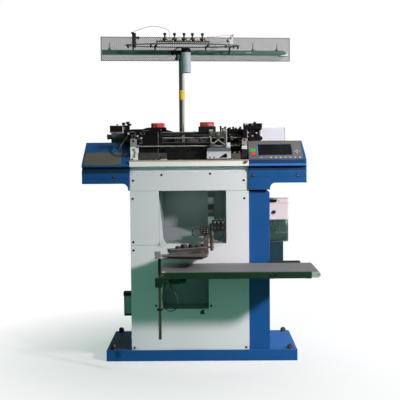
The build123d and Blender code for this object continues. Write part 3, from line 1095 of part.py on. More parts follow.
def conveyor():
    """Discharge conveyor: side frames, bed plate, belt loop, two rollers, motor and end plates."""
    axis_z = BELT_TOP - BELT_THICK - BELT_GAP - ROLLER_RADIUS
    front_out = BELT_FRONT - SIDE_FRAME_GAP - SIDE_FRAME_THICK
    back_out = BELT_BACK + SIDE_FRAME_GAP + SIDE_FRAME_THICK
    frame = box(SIDE_FRAME_LEFT, SIDE_FRAME_RIGHT, front_out, front_out + SIDE_FRAME_THICK,
                SIDE_FRAME_BOTTOM, SIDE_FRAME_TOP)
    frame += box(SIDE_FRAME_LEFT, SIDE_FRAME_RIGHT, back_out - SIDE_FRAME_THICK, back_out,
                 SIDE_FRAME_BOTTOM, SIDE_FRAME_TOP)
    belt_low = axis_z - ROLLER_RADIUS - BELT_GAP - BELT_THICK
    for x in (SIDE_FRAME_LEFT + 49, SIDE_FRAME_LEFT + 319, SIDE_FRAME_RIGHT - 239, SIDE_FRAME_RIGHT - 33):
        frame += box(x, x + CROSSBAR_WIDTH, front_out, back_out, belt_low - 5.0, belt_low - 2.0)
    bed_top = BELT_TOP - BELT_THICK - BELT_GAP
    frame += box(SIDE_FRAME_LEFT + 12, SIDE_FRAME_RIGHT - 2, front_out + 1, back_out - 1, bed_top - 2.5, bed_top)
    frame += box(CABINET_RIGHT - 189, CABINET_RIGHT - 149, back_out, FRONT, SIDE_FRAME_BOTTOM + 2, SIDE_FRAME_TOP)
    frame += box(CABINET_RIGHT + 31, CABINET_RIGHT + 91, back_out, FRONT + COLUMN_SETBACK,
                 SIDE_FRAME_BOTTOM + 2, SIDE_FRAME_TOP)
    guard_left = SIDE_FRAME_RIGHT - 219
    guard_top = BELT_TOP + 12.0
    frame += along_y([(guard_left, SIDE_FRAME_TOP), (guard_left + 200, SIDE_FRAME_TOP),
                      (guard_left + 192, guard_top), (guard_left, guard_top)], back_out, back_out + SIDE_FRAME_THICK)
    corner_front = front_out - POST_SIZE - 4
    corner_top = BELT_TOP - 28.0
    corner = box(POST_X - 26, POST_X + 46, corner_front, front_out, corner_top - 32, corner_top)
    corner += box(POST_X - 26, POST_X + 15, corner_front, front_out, corner_top - 54, corner_top)
    corner += box(SIDE_FRAME_LEFT, POST_X + 46, front_out, front_out + SIDE_FRAME_THICK,
                  corner_top - 32, SIDE_FRAME_BOTTOM + 2)
    corner -= box(POST_X - POST_SIZE / 2, POST_X + POST_SIZE / 2, corner_front + 3, corner_front + 3 + POST_SIZE,
                  corner_top - 55, corner_top + 1)
    frame += corner
    latch_x = SIDE_FRAME_RIGHT - 224.0
    latch_z = BELT_TOP - 17.0
    frame += rod((latch_x, front_out - 5, latch_z), (latch_x, front_out, latch_z), 8.0)
    save("conveyor_frame", frame)

    outer = ROLLER_RADIUS + BELT_GAP + BELT_THICK
    length = ROLLER_RIGHT_X - ROLLER_LEFT_X
    loop_plane = Plane(origin=((ROLLER_LEFT_X + ROLLER_RIGHT_X) / 2, BELT_BACK, axis_z), x_dir=(1, 0, 0), z_dir=(0, -1, 0))
    loop = SlotCenterToCenter(length, 2 * outer) - SlotCenterToCenter(length, 2 * (outer - BELT_THICK))
    save("conveyor_belt", extrude(loop_plane * loop, BELT_BACK - BELT_FRONT))

    plates = []
    for roller_x, frame_x in ((ROLLER_LEFT_X, SIDE_FRAME_LEFT), (ROLLER_RIGHT_X, SIDE_FRAME_RIGHT)):
        name = "drive_roller" if roller_x < 0 else "idler_roller"
        roller = rod((roller_x, BELT_FRONT, axis_z), (roller_x, BELT_BACK, axis_z), ROLLER_RADIUS)
        roller += rod((roller_x, front_out, axis_z), (roller_x, back_out, axis_z), STUB_RADIUS)
        save(name, roller)
        for y_low in (front_out, back_out - SIDE_FRAME_THICK):
            plate = box(min(roller_x, frame_x), max(roller_x, frame_x), y_low, y_low + SIDE_FRAME_THICK,
                        axis_z - outer, axis_z + outer - 1)
            plate += rod((roller_x, y_low, axis_z), (roller_x, y_low + SIDE_FRAME_THICK, axis_z), outer - 0.5)
            plate -= rod((roller_x, y_low - 1, axis_z), (roller_x, y_low + SIDE_FRAME_THICK + 1, axis_z),
                         STUB_RADIUS + RUNNING)
            plates.append(plate)
    save("roller_plates", *plates)

    motor_left = ROLLER_LEFT_X + 51.0
    motor_y = BELT_FRONT + 66.0
    motor_low = BELT_TOP - 76.0
    motor = box(motor_left, motor_left + 47, motor_y - 36, motor_y + 36, motor_low, belt_low - 5.0)
    motor = fillet(motor.edges().filter_by(Axis.Y).group_by(Axis.Z)[0], 6.0)
    motor += rod((motor_left + 47, motor_y, motor_low + 17), (motor_left + 81, motor_y, motor_low + 17), 17.0)
    motor += box(motor_left - 17, motor_left, motor_y - 16, motor_y + 10, motor_low + 6, motor_low + 28)
    save("conveyor_motor", motor)

    post_front = corner_front + 3
    half = POST_SIZE / 2
    groove = POST_GROOVE
    y_mid = post_front + half
    post = box(POST_X - half, POST_X + half, post_front, post_front + POST_SIZE, POST_BOTTOM, POST_TOP)
    post -= box(POST_X - groove / 2, POST_X + groove / 2, corner_front, post_front + groove,
                POST_BOTTOM - 1, POST_TOP + 1)
    post -= box(POST_X - POST_SIZE, POST_X - half + groove, y_mid - groove / 2, y_mid + groove / 2,
                POST_BOTTOM - 1, POST_TOP + 1)
    stop_z = POST_BOTTOM + STOP_RISE
    post += box(POST_X - 17, POST_X + 14, post_front - 2, post_front + POST_SIZE + 2, stop_z, stop_z + 11)
    head = box(POST_X - 27, POST_X + 8, corner_front - 2, corner_front + 24, POST_TOP, POST_TOP + 38)
    head = fillet(head.edges().filter_by(Axis.Z), 3.0)
    arm_back = FRONT - 255.0
    head += box(POST_X - 20, POST_X + 8, corner_front + 5, arm_back, POST_TOP, POST_TOP + 6)
    head += box(POST_X - 10, POST_X + 30, arm_back - 25, arm_back, TRAY_TOP, POST_TOP + 6)
    save("conveyor_post", post + head)


def corner_radii(route):
    """The largest arc that each corner of a cable's route has room for."""
    radii = []
    for before, here, after in zip(route, route[1:], route[2:]):
        first = Vector(*here) - Vector(*before)
        second = Vector(*after) - Vector(*here)
        turn = radians(first.get_angle(second))
        radii.append(0.45 * min(first.length, second.length) / tan(turn / 2))
    return radii


def cable(route, radius):
    """A cable as a tube of straight runs and tangent arcs; its length is checked by its volume."""
    radii = corner_radii(route)
    path = FilletPolyline(*route, radius=radii)
    start = Plane(origin=route[0], z_dir=Vector(*route[1]) - Vector(*route[0]))
    solid = sweep(start * Circle(radius), path=path)
    print("cable length", round(path.length, 1), "volume over section times length",
          round(solid.volume / (pi * radius ** 2 * path.length), 4), "radii", [round(r, 1) for r in radii])
    return solid


def cables():
    """The motor cable, the two air hoses and the two head cables."""
    save("motor_cable", cable(MOTOR_CABLE_ROUTE, CABLE_RADIUS))
    save("loop_hose", cable(HOSE_LOOP_ROUTE, HOSE_RADIUS))
    save("drop_hose", cable(HOSE_DROP_ROUTE, HOSE_RADIUS))
    save("head_cable_1", cable(HEAD_CABLE_1_ROUTE, CABLE_RADIUS))
    save("head_cable_2", cable(HEAD_CABLE_2_ROUTE, CABLE_RADIUS))


base_frame()
levelling_bolts()
cabinet_shell()
front_panel()
upper_door()
chute_liner()
recess_liner()
right_column()
bed_castings()
needle_beds()
header_cover()
ledge_strip()
rear_cover()
left_console()
right_console()
control_panel()
end_brackets()
guide_rails()
drive_housing()
right_end_frame()
red_caps()
left_drive()
right_actuator()
carriage()
save("feeder_1", feeder(FEEDER_1_X, FEED_RAIL_1_Y, FEED_RAIL_1_Z, 1, 18.0))
save("feeder_2", feeder(FEEDER_2_X, FEED_RAIL_2_Y, FEED_RAIL_2_Z, -1, 14.0))
mast()
creel_beam()
yarn_screen()
ring_frame()
creel_heads()
guide_wires()
oil_bottle()
side_oiler()
junction_box()
take_off()
conveyor()
cables()
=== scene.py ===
# Glove knitting machine: materials, small parts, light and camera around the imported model.
import math

import bmesh
import bpy
from mathutils import Matrix, Vector


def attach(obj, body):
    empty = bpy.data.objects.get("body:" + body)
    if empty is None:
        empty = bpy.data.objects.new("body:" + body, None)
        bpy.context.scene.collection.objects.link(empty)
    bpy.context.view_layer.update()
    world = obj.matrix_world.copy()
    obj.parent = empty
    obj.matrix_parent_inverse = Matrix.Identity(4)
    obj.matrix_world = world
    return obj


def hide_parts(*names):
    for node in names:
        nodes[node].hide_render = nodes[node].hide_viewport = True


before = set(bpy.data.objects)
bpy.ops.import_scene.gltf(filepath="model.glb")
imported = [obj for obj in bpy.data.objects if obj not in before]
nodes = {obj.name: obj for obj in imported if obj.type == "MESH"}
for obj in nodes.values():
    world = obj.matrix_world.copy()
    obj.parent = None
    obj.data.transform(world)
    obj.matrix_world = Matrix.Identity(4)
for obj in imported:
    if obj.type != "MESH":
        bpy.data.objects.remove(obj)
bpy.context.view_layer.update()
MM = 0.001

# Studio: the camera stands 5.2 m before the machine's front at chest height, turned, tipped and rolled
# a little. Three soft lamps and a pale room light the machine, and the room is plain white to the eye.
camera_place = Vector((0.0321, -5.495, 1.296))
camera_yaw = math.radians(0.403)
camera_pitch = math.radians(3.467)
camera_roll = math.radians(0.45)
camera_data = bpy.data.cameras.new("camera")
camera_data.sensor_width = 36.0
camera_data.lens = 78.21
camera_data.clip_end = 60.0
camera = bpy.data.objects.new("camera", camera_data)
bpy.context.scene.collection.objects.link(camera)
camera.matrix_world = (
    Matrix.Translation(camera_place)
    @ Matrix.Rotation(camera_yaw, 4, "Z")
    @ Matrix.Rotation(math.pi / 2 - camera_pitch, 4, "X")
    @ Matrix.Rotation(-camera_roll, 4, "Z")
)
bpy.context.scene.camera = camera
bpy.context.scene.view_settings.view_transform = "Standard"


def softbox(name, place, aim, width, height, power, colour):
    """A rectangular lamp that faces a point on the machine."""
    lamp = bpy.data.lights.new(name, "AREA")
    lamp.shape = "RECTANGLE"
    lamp.size = width
    lamp.size_y = height
    lamp.energy = power
    lamp.color = colour
    holder = bpy.data.objects.new(name, lamp)
    bpy.context.scene.collection.objects.link(holder)
    holder.location = place
    direction = Vector(aim) - Vector(place)
    holder.rotation_euler = direction.to_track_quat("-Z", "Y").to_euler()
    return lamp


key_spread = math.radians(43.6)
key_lamp = softbox(
    "key_light", (5.47, -4.88, 4.19), (1.8, -0.28, 1.2), 0.66, 0.66, 66.0, (1.0, 0.85, 0.93))
key_lamp.spread = key_spread
softbox("side_card", (4.2, 1.0, 1.7), (0.0, 0.0, 1.0), 1.6, 2.6, 26.0, (1.0, 1.0, 1.0))
softbox("chute_fill", (-0.04, -0.15, 1.03), (-0.04, -0.1, 0.8), 0.28, 0.16, 0.3, (0.8, 1.0, 0.97))


def plug(tree, socket, value):
    """Link a socket to another, or set its value."""
    if isinstance(value, bpy.types.NodeSocket):
        tree.links.new(value, socket)
    else:
        socket.default_value = value


def add_node(tree, kind, **values):
    """A shader node with the named inputs linked or set."""
    made = tree.nodes.new("ShaderNode" + kind)
    for label, value in values.items():
        plug(tree, made.inputs[label], value)
    return made


def reckon(tree, operation, *values, clamp=False):
    """One sum on numbers."""
    made = tree.nodes.new("ShaderNodeMath")
    made.operation = operation
    made.use_clamp = clamp
    for socket, value in zip(made.inputs, values):
        plug(tree, socket, value)
    return made.outputs[0]


def reckon_way(tree, operation, first, second=(0.0, 0.0, 0.0)):
    """One sum on vectors. A length and a dot product come out as a number."""
    made = tree.nodes.new("ShaderNodeVectorMath")
    made.operation = operation
    plug(tree, made.inputs[0], first)
    plug(tree, made.inputs[1], second)
    return made.outputs["Value" if operation in ("LENGTH", "DOT_PRODUCT") else "Vector"]


def spread(tree, value, low, high, new_low=0.0, new_high=1.0):
    """A number moved from one range to another, and held there."""
    made = tree.nodes.new("ShaderNodeMapRange")
    for socket, part in zip(made.inputs, (value, low, high, new_low, new_high)):
        plug(tree, socket, part)
    return made.outputs["Result"]


def mix_shaders(tree, share, first, second):
    """First shader where share is 0, second where it is 1."""
    made = tree.nodes.new("ShaderNodeMixShader")
    for socket, value in zip(made.inputs, (share, first, second)):
        plug(tree, socket, value)
    return made.outputs[0]


world = bpy.data.worlds.new("studio_world")
bpy.context.scene.world = world
world.use_nodes = True
sky = world.node_tree
sky.nodes.clear()
sky_rays = add_node(sky, "LightPath").outputs
sky_way = add_node(sky, "SeparateXYZ", Vector=add_node(sky, "TexCoord").outputs["Generated"])
sky_lift = spread(sky, sky_way.outputs["X"], 0.05, 0.4, 0.07, 0.62)
sky_light = add_node(sky, "Background", Color=(0.43, 1.0, 0.78, 1.0), Strength=0.29)
sky_gloss = add_node(sky, "Background", Color=(0.98, 1.0, 0.97, 1.0), Strength=sky_lift)
sky_white = add_node(sky, "Background", Color=(1.0, 1.0, 1.0, 1.0))
sky_shiny = mix_shaders(sky, sky_rays["Is Glossy Ray"], sky_light.outputs[0], sky_gloss.outputs[0])
sky_seen = reckon(sky, "MAXIMUM", sky_rays["Is Camera Ray"], sky_rays["Is Transmission Ray"])
add_node(sky, "OutputWorld", Surface=mix_shaders(sky, sky_seen, sky_shiny, sky_white.outputs[0]))

# Floor: a pale, even studio floor that keeps the machine's shadow and is lost in white further out.
# The light that it throws back on the machine is green-grey, as a painted workshop floor gives.
floor_reach = 9.0
floor_corners = [(floor_reach * x, floor_reach * y, 0) for x, y in ((-1, -1), (1, -1), (1, 1), (-1, 1))]
floor_mesh = bpy.data.meshes.new("studio_floor")
floor_mesh.from_pydata(floor_corners, [], [(0, 1, 2, 3)])
floor = bpy.data.objects.new("studio_floor", floor_mesh)
bpy.context.scene.collection.objects.link(floor)
floor_paint = bpy.data.materials.new("studio_floor")
floor_paint.use_nodes = True
floor_tree = floor_paint.node_tree
floor_shader = floor_tree.nodes["Principled BSDF"]
floor_shader.inputs["Base Color"].default_value = (0.97, 0.97, 0.97, 1.0)
floor_shader.inputs["Roughness"].default_value = 0.9
floor_shader.inputs["Specular IOR Level"].default_value = 0.1
floor_glow = add_node(floor_tree, "Emission", Color=(1.0, 1.0, 1.0, 1.0))
floor_bounce = add_node(floor_tree, "BsdfDiffuse", Color=(0.17, 0.36, 0.28, 1.0))
floor_eye = add_node(floor_tree, "LightPath").outputs["Is Camera Ray"]
floor_far = reckon_way(floor_tree, "LENGTH", add_node(floor_tree, "TexCoord").outputs["Object"])
floor_share = reckon(floor_tree, "MULTIPLY", spread(floor_tree, floor_far, 0.7, 1.7, 0.45), floor_eye)
floor_seen = mix_shaders(floor_tree, floor_eye, floor_bounce.outputs[0], floor_shader.outputs[0])
floor_mix = mix_shaders(floor_tree, floor_share, floor_seen, floor_glow.outputs[0])
plug(floor_tree, floor_tree.nodes["Material Output"].inputs["Surface"], floor_mix)
floor_mesh.materials.append(floor_paint)


# Base frame: a plinth welded from steel sheet and painted blue, on which the whole machine stands.
# It is scuffed along its edges and dirty under the front left bolt. Its top is painted lighter on the
# right as painted light and dark on the left as the cabinet's painted shadow, and a darker band runs
# along the top edge of its front.
def tone(red, green, blue):
    """A colour as the eye sees it, 0 to 255, as the linear values that the shader takes."""
    def linear(value):
        value = value / 255
        return value / 12.92 if value <= 0.04045 else ((value + 0.055) / 1.055) ** 2.4
    return (linear(red), linear(green), linear(blue), 1.0)


def start_group(name, inputs, outputs):
    """A shader group with its named sockets."""
    group = bpy.data.node_groups.new(name, "ShaderNodeTree")
    for label, kind, value in inputs:
        socket = group.interface.new_socket(label, in_out="INPUT", socket_type="NodeSocket" + kind)
        socket.default_value = value
    for label, kind in outputs:
        group.interface.new_socket(label, in_out="OUTPUT", socket_type="NodeSocket" + kind)
    return group, group.nodes.new("NodeGroupInput").outputs, group.nodes.new("NodeGroupOutput").inputs


def place_group(tree, group, values):
    """A group placed in a material with its own values."""
    made = tree.nodes.new("ShaderNodeGroup")
    made.node_tree = group
    for label, value in values.items():
        plug(tree, made.inputs[label], value)
    return made.outputs


def blend_colours(tree, share, first, second):
    """First colour where share is 0, second where it is 1."""
    made = tree.nodes.new("ShaderNodeMix")
    made.data_type = "RGBA"
    plug(tree, made.inputs[0], share)
    plug(tree, made.inputs[6], first)
    plug(tree, made.inputs[7], second)
    return made.outputs[2]


def cloud(tree, place, scale, detail):
    """Smooth noise from 0 to 1."""
    made = add_node(tree, "TexNoise", Vector=place, Scale=scale, Detail=detail, Roughness=0.55)
    return made.outputs["Fac"]


# The group that ages a surface: patches, specks, edges rubbed pale as wear and as painted highlights,
# dust on top, and grime in corners that is also painted shade.
plain_grey = (0.5, 0.5, 0.5, 1.0)
dust_colour = tone(176, 172, 164)
grime_and_shade_colour = tone(34, 31, 28)
aged, aged_in, aged_out = start_group(
    "aged_surface",
    [
        ("Colour", "Color", plain_grey), ("Rub And Highlight Colour", "Color", plain_grey),
        ("Patches", "Float", 0.05), ("Patch Scale", "Float", 6.0), ("Specks", "Float", 0.03),
        ("Speck Scale", "Float", 220.0), ("Rub And Highlight", "Float", 0.2), ("Edge Radius", "Float", 0.002),
        ("Dust", "Float", 0.1), ("Grime And Shade", "Float", 0.3), ("Roughness", "Float", 0.5)],
    [("Colour", "Color"), ("Roughness", "Float"), ("Normal", "Vector"), ("Height", "Float")])
aged_place = add_node(aged, "TexCoord").outputs["Object"]
aged_patch = cloud(aged, aged_place, aged_in["Patch Scale"], 4.0)
aged_speck = cloud(aged, aged_place, aged_in["Speck Scale"], 2.0)
patch_swing = reckon(aged, "SUBTRACT", aged_patch, 0.5)
patch_lift = reckon(aged, "MULTIPLY", patch_swing, aged_in["Patches"])
speck_lift = reckon(aged, "MULTIPLY", reckon(aged, "SUBTRACT", aged_speck, 0.5), aged_in["Specks"])
aged_swing = reckon(aged, "ADD", patch_lift, speck_lift)
aged_level = reckon(aged, "MULTIPLY_ADD", aged_swing, 2.0, 1.0)
aged_tint = aged.nodes.new("ShaderNodeVectorMath")
aged_tint.operation = "SCALE"
plug(aged, aged_tint.inputs[0], aged_in["Colour"])
plug(aged, aged_tint.inputs["Scale"], aged_level)
# Rounded edges take the rubbed colour: partly wear, partly painted highlight.
aged_round = add_node(aged, "Bevel", Radius=aged_in["Edge Radius"])
aged_round.samples = 4
aged_flat = add_node(aged, "NewGeometry").outputs["Normal"]
aged_bend = reckon_way(aged, "DOT_PRODUCT", aged_round.outputs[0], aged_flat)
aged_edge = spread(aged, reckon(aged, "SUBTRACT", 1.0, aged_bend), 0.02, 0.14)
aged_broken = spread(aged, cloud(aged, aged_place, 38.0, 3.0), 0.42, 0.6)
aged_worn_and_lit_edge = reckon(aged, "MULTIPLY", aged_edge, aged_broken)
aged_rub_and_highlight = reckon(aged, "MULTIPLY", aged_worn_and_lit_edge, aged_in["Rub And Highlight"], clamp=True)
aged_up = add_node(aged, "SeparateXYZ", Vector=aged_flat).outputs["Z"]
dust_patch = spread(aged, aged_patch, 0.2, 0.8, 0.35)
aged_settled = reckon(aged, "MULTIPLY", spread(aged, aged_up, 0.35, 1.0), dust_patch)
aged_dust = reckon(aged, "MULTIPLY", aged_settled, aged_in["Dust"], clamp=True)
# Darkening in hollows and corners: grime, and painted shade where less light falls.
aged_shade = add_node(aged, "AmbientOcclusion", Distance=0.018)
aged_shade.samples = 4
aged_hollow = spread(aged, aged_shade.outputs["AO"], 0.75, 0.25)
aged_grime_and_shade = reckon(aged, "MULTIPLY", aged_hollow, aged_in["Grime And Shade"], clamp=True)
aged_colour = blend_colours(aged, aged_rub_and_highlight, aged_tint.outputs[0], aged_in["Rub And Highlight Colour"])
aged_colour = blend_colours(aged, aged_dust, aged_colour, dust_colour)
aged_colour = blend_colours(aged, aged_grime_and_shade, aged_colour, grime_and_shade_colour)
dusty_rough = reckon(aged, "MULTIPLY_ADD", aged_dust, 0.3, aged_in["Roughness"])
plug(aged, aged_out["Colour"], aged_colour)
plug(aged, aged_out["Roughness"], reckon(aged, "MULTIPLY_ADD", patch_swing, 0.16, dusty_rough))
plug(aged, aged_out["Normal"], aged_round.outputs[0])
plug(aged, aged_out["Height"], aged_speck)

# The group that tells which points lie in a box: it gives one node two finishes.
boxed, boxed_in, boxed_out = start_group(
    "inside_box", [("Low", "Vector", (0, 0, 0)), ("High", "Vector", (1, 1, 1))], [("Mask", "Float")])
boxed_place = add_node(boxed, "TexCoord").outputs["Object"]
boxed_share = 1.0
for low, high in ((boxed_in["Low"], boxed_place), (boxed_place, boxed_in["High"])):
    boxed_gap = reckon_way(boxed, "SUBTRACT", high, low)
    for boxed_axis in add_node(boxed, "SeparateXYZ", Vector=boxed_gap).outputs:
        boxed_side = reckon(boxed, "GREATER_THAN", boxed_axis, 0.0)
        boxed_share = reckon(boxed, "MULTIPLY", boxed_share, boxed_side)
plug(boxed, boxed_out["Mask"], boxed_share)

# The group that marks a soft, broken spot round a place: dirt, rust and dark oil marks, and also
# painted shadows and patches of painted light.
spotted, spotted_in, spotted_out = start_group(
    "soft_spot",
    [("Centre", "Vector", (0, 0, 0)), ("Reach", "Vector", (1, 1, 1)), ("Strength", "Float", 0.5)],
    [("Mask", "Float")])
spotted_place = add_node(spotted, "TexCoord").outputs["Object"]
spotted_gap = reckon_way(spotted, "SUBTRACT", spotted_place, spotted_in["Centre"])
spotted_share = reckon_way(spotted, "DIVIDE", spotted_gap, spotted_in["Reach"])
spotted_fall = spread(spotted, reckon_way(spotted, "LENGTH", spotted_share), 1.0, 0.25)
spotted_broken = spread(spotted, cloud(spotted, spotted_place, 90.0, 4.0), 0.35, 0.6, 0.3)
spotted_soft = reckon(spotted, "MULTIPLY", spotted_fall, spotted_broken)
spotted_mask = reckon(spotted, "MULTIPLY", spotted_soft, spotted_in["Strength"], clamp=True)
plug(spotted, spotted_out["Mask"], spotted_mask)


def finish(
        name, colour, roughness, metallic=0.0, rub_and_highlight_colour=(150, 150, 148), patches=0.1, patch_scale=6.0,
        specks=0.03, speck_scale=220.0, rub_and_highlight=0.25, edge=0.0015, dust=0.1, grime_and_shade=0.35, bump=0.04,
        coat=0.0, zones=(), spots=()):
    """A painted, moulded or metal surface. Colours are 0 to 255. Zones are boxes in millimetres with a
    colour and a metallic value; spots are soft marks with a centre and a reach, a colour and a strength."""
    material = bpy.data.materials.new(name)
    material.use_nodes = True
    tree = material.node_tree
    shader = tree.nodes["Principled BSDF"]
    base = tone(*colour)
    shine = metallic
    for low, high, zone_colour, zone_metallic in zones:
        corners = {"Low": Vector(low) * MM, "High": Vector(high) * MM}
        mask = place_group(tree, boxed, corners)["Mask"]
        base = blend_colours(tree, mask, base, tone(*zone_colour))
        if zone_metallic != metallic:
            shine = reckon(tree, "MULTIPLY_ADD", mask, zone_metallic - metallic, shine)
    for centre, reach, spot_colour, strength in spots:
        mark = {"Centre": Vector(centre) * MM, "Reach": Vector(reach) * MM, "Strength": strength}
        mask = place_group(tree, spotted, mark)["Mask"]
        base = blend_colours(tree, mask, base, tone(*spot_colour))
    life = place_group(
        tree, aged,
        {
            "Colour": base, "Rub And Highlight Colour": tone(*rub_and_highlight_colour), "Patches": patches,
            "Patch Scale": patch_scale, "Specks": specks, "Speck Scale": speck_scale, "Rub And Highlight": rub_and_highlight,
            "Edge Radius": edge, "Dust": dust, "Grime And Shade": grime_and_shade, "Roughness": roughness})
    dent = add_node(
        tree, "Bump", Strength=bump, Distance=0.001, Height=life["Height"], Normal=life["Normal"])
    plug(tree, shader.inputs["Base Color"], life["Colour"])
    plug(tree, shader.inputs["Roughness"], life["Roughness"])
    plug(tree, shader.inputs["Metallic"], shine)
    plug(tree, shader.inputs["Normal"], dent.outputs[0])
    shader.inputs["Coat Weight"].default_value = coat
    return material


def dress(node, material):
    """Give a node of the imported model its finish."""
    mesh = nodes[node].data
    mesh.materials.clear()
    mesh.materials.append(material)


dress("base_frame", finish(
    "base_blue", (14, 82, 146), 0.4, rub_and_highlight_colour=(70, 116, 170), patch_scale=5.0, specks=0.1,
    speck_scale=420.0, rub_and_highlight=0.5, edge=0.004, dust=0.06, grime_and_shade=0.6, bump=0.1,
    # Painted light: the top's right end is painted a lighter blue.
    zones=[((420, -270, 64), (600, 290, 72), (34, 108, 184), 0.0)],
    spots=[
        ((-512, -282, 44), (26, 16, 42), (20, 22, 28), 0.9),
        # Painted shadow: the cabinet's shadow, painted dark on the left part of the top.
        ((-520, -60, 68), (110, 300, 14), (40, 36, 34), 0.95),
        ((-539, -248, 68), (44, 40, 12), (54, 44, 36), 0.7),
        ((539, -248, 68), (44, 40, 12), (84, 66, 48), 0.6),
        ((539, 248, 68), (44, 40, 12), (84, 66, 48), 0.5),
        ((-100, -282, 66), (300, 16, 12), (24, 52, 84), 0.5)]))

# Levelling bolts: four steel studs through the base, each with its nuts and washer, to set it level.
# Black plastic caps cover the left two.
dress("levelling_bolts", finish(
    "bolt_steel", (112, 100, 88), 0.4, metallic=0.8, patches=0.2, patch_scale=60.0, specks=0.16,
    edge=0.0008, dust=0.15, grime_and_shade=0.6, zones=[((-600, -300, 71), (0, 300, 110), (26, 26, 27), 0.0)]))

# Cabinet: folded sheet steel, powder coated white, with a fine orange peel and hand marks.
# The panels are screwed to the frame behind them.
hand_dirt = (132, 128, 112)
sheet_coat = dict(
    rub_and_highlight_colour=(150, 150, 146), patches=0.045, patch_scale=3.0, specks=0.014, speck_scale=700.0, edge=0.002,
    dust=0.08, grime_and_shade=0.5, bump=0.08)
sheet_white = finish(
    "cabinet_white", (226, 229, 229), 0.42, **sheet_coat,
    spots=[
        ((-425, -281, 68), (60, 12, 34), hand_dirt, 0.5), ((289, -281, 68), (60, 12, 30), hand_dirt, 0.4),
        ((-60, -281, 68), (300, 12, 14), hand_dirt, 0.35),
        ((-240, -281, 712), (46, 12, 26), hand_dirt, 0.3),
        ((40, -281, 708), (130, 12, 16), hand_dirt, 0.35),
        ((-60, -262, 1213), (340, 18, 10), (120, 104, 88), 0.5)])
for node in ("cabinet_shell", "front_panel", "upper_door"):
    dress(node, sheet_white)
dress("header_cover", finish(
    "header_white", (226, 229, 229), 0.42, **sheet_coat,
    # Painted light: the lip's front is painted a brighter white than the rest of the header.
    zones=[((-430, -320, 1184), (295, -288, 1220), (252, 250, 246), 0.0)],
    spots=[((-60, -292, 1213), (340, 18, 10), (150, 134, 116), 0.4)]))

# Chute and service opening: sheet steel boxes painted grey, welded behind the front.
# A lighter patch of painted light lies on the chute's right side, a darker strip runs down its left
# wall, and rust and dust lie in the lower box.
dress("chute_liner", finish(
    "chute_grey", (122, 132, 132), 0.5, rub_and_highlight_colour=(160, 158, 152), patches=0.14, patch_scale=5.0,
    specks=0.06, rub_and_highlight=0.3, grime_and_shade=0.5,
    spots=[
        # Painted light: a lighter patch over the chute's right side.
        ((90, -10, 950), (90, 130, 230), (176, 188, 186), 0.8),
        ((-226, -160, 880), (14, 120, 160), (46, 52, 52), 0.5)]))
dress("recess_liner", finish(
    "recess_grey", (160, 178, 180), 0.5, rub_and_highlight_colour=(140, 138, 132), patches=0.14, specks=0.06, rub_and_highlight=0.3,
    dust=0.2, grime_and_shade=0.5, spots=[((-95, -230, 320), (130, 60, 14), (150, 118, 90), 0.8)]))

# Right column and consoles: folded and welded steel shells with a fine blue spray texture.
# They are bolted to the cabinet, and thin dark seams part their sheets. Their edges are rubbed pale,
# as wear and as painted highlights, and painted shade, highlights and shadows lie on their faces.
seam_blue = (14, 34, 66)
console_blue = finish(
    "console_blue", (13, 80, 142), 0.4, rub_and_highlight_colour=(76, 136, 200), patches=0.06, patch_scale=7.0, specks=0.16,
    speck_scale=520.0, rub_and_highlight=0.7, edge=0.0035, dust=0.05, grime_and_shade=0.5, bump=0.14,
    zones=[
        # Painted shade: the dark bands under the slopes' brows. Painted highlight: the bright band between
        # them on the right console.
        ((-730, -310, 1144), (-420, -250, 1173), (5, 42, 66), 0.0),
        ((285, -310, 1155), (660, -250, 1184), (6, 50, 84), 0.0),
        ((285, -310, 1184), (660, -250, 1196), (44, 118, 200), 0.0),
        ((285, -310, 1196), (660, -275, 1218), (6, 52, 90), 0.0),
        # Painted highlight down the right console's right side; painted shade down the left console's left
        # side.
        ((633, -310, 1090), (660, -60, 1340), (104, 172, 236), 0.0),
        ((-740, -310, 1060), (-712, 60, 1340), (4, 26, 52), 0.0),
        ((-730, -300, 1110.5), (-420, -270, 1112), seam_blue, 0.0),
        ((285, -300, 1118.5), (650, -270, 1120), seam_blue, 0.0)],
    spots=[
        # Painted shadow of the motor and the leads on the left console's slope; a darker spot lies where
        # the leads come in.
        ((-590, -150, 1302), (80, 50, 26), (3, 12, 26), 0.95),
        ((-470, -140, 1308), (70, 70, 44), (3, 10, 20), 0.95),
        ((-440, -230, 1245), (24, 60, 60), (6, 30, 60), 0.6)])
for node in ("right_column", "left_console", "right_console"):
    dress(node, console_blue)
to_front = (0, -1, 0)
to_top = (0, 0, 1)


def add_turned(shape, place, axis, profile, sides=20):
    """Add a turned form: (radius, height) points about an axis from a place."""
    turn = Vector(to_top).rotation_difference(Vector(axis)).to_matrix()
    rings = []
    for radius, height in profile:
        count = 1 if radius < 1e-6 else sides
        ring = []
        for step in range(count):
            angle = 2 * math.pi * step / sides
            point = Vector((radius * math.cos(angle), radius * math.sin(angle), height))
            ring.append(shape.verts.new(Vector(place) + turn @ point))
        rings.append(ring)
    for lower, upper in zip(rings, rings[1:]):
        for step in range(sides):
            after = (step + 1) % sides
            if len(lower) == 1 and len(upper) == 1:
                continue
            if len(lower) == 1:
                shape.faces.new((lower[0], upper[after], upper[step]))
            elif len(upper) == 1:
                shape.faces.new((lower[step], lower[after], upper[0]))
            else:
                shape.faces.new((lower[step], lower[after], upper[after], upper[step]))


def add_rod(shape, start, end, radius, sides=16):
    """Add a round bar between two points, its ends lightly chamfered."""
    line = Vector(end) - Vector(start)
    length = line.length
    ease = min(0.15 * radius, 0.2 * length)
    profile = [
        (0, 0), (radius - ease, 0), (radius, ease), (radius, length - ease), (radius - ease, length),
        (0, length)]
    add_turned(shape, start, line, profile, sides)


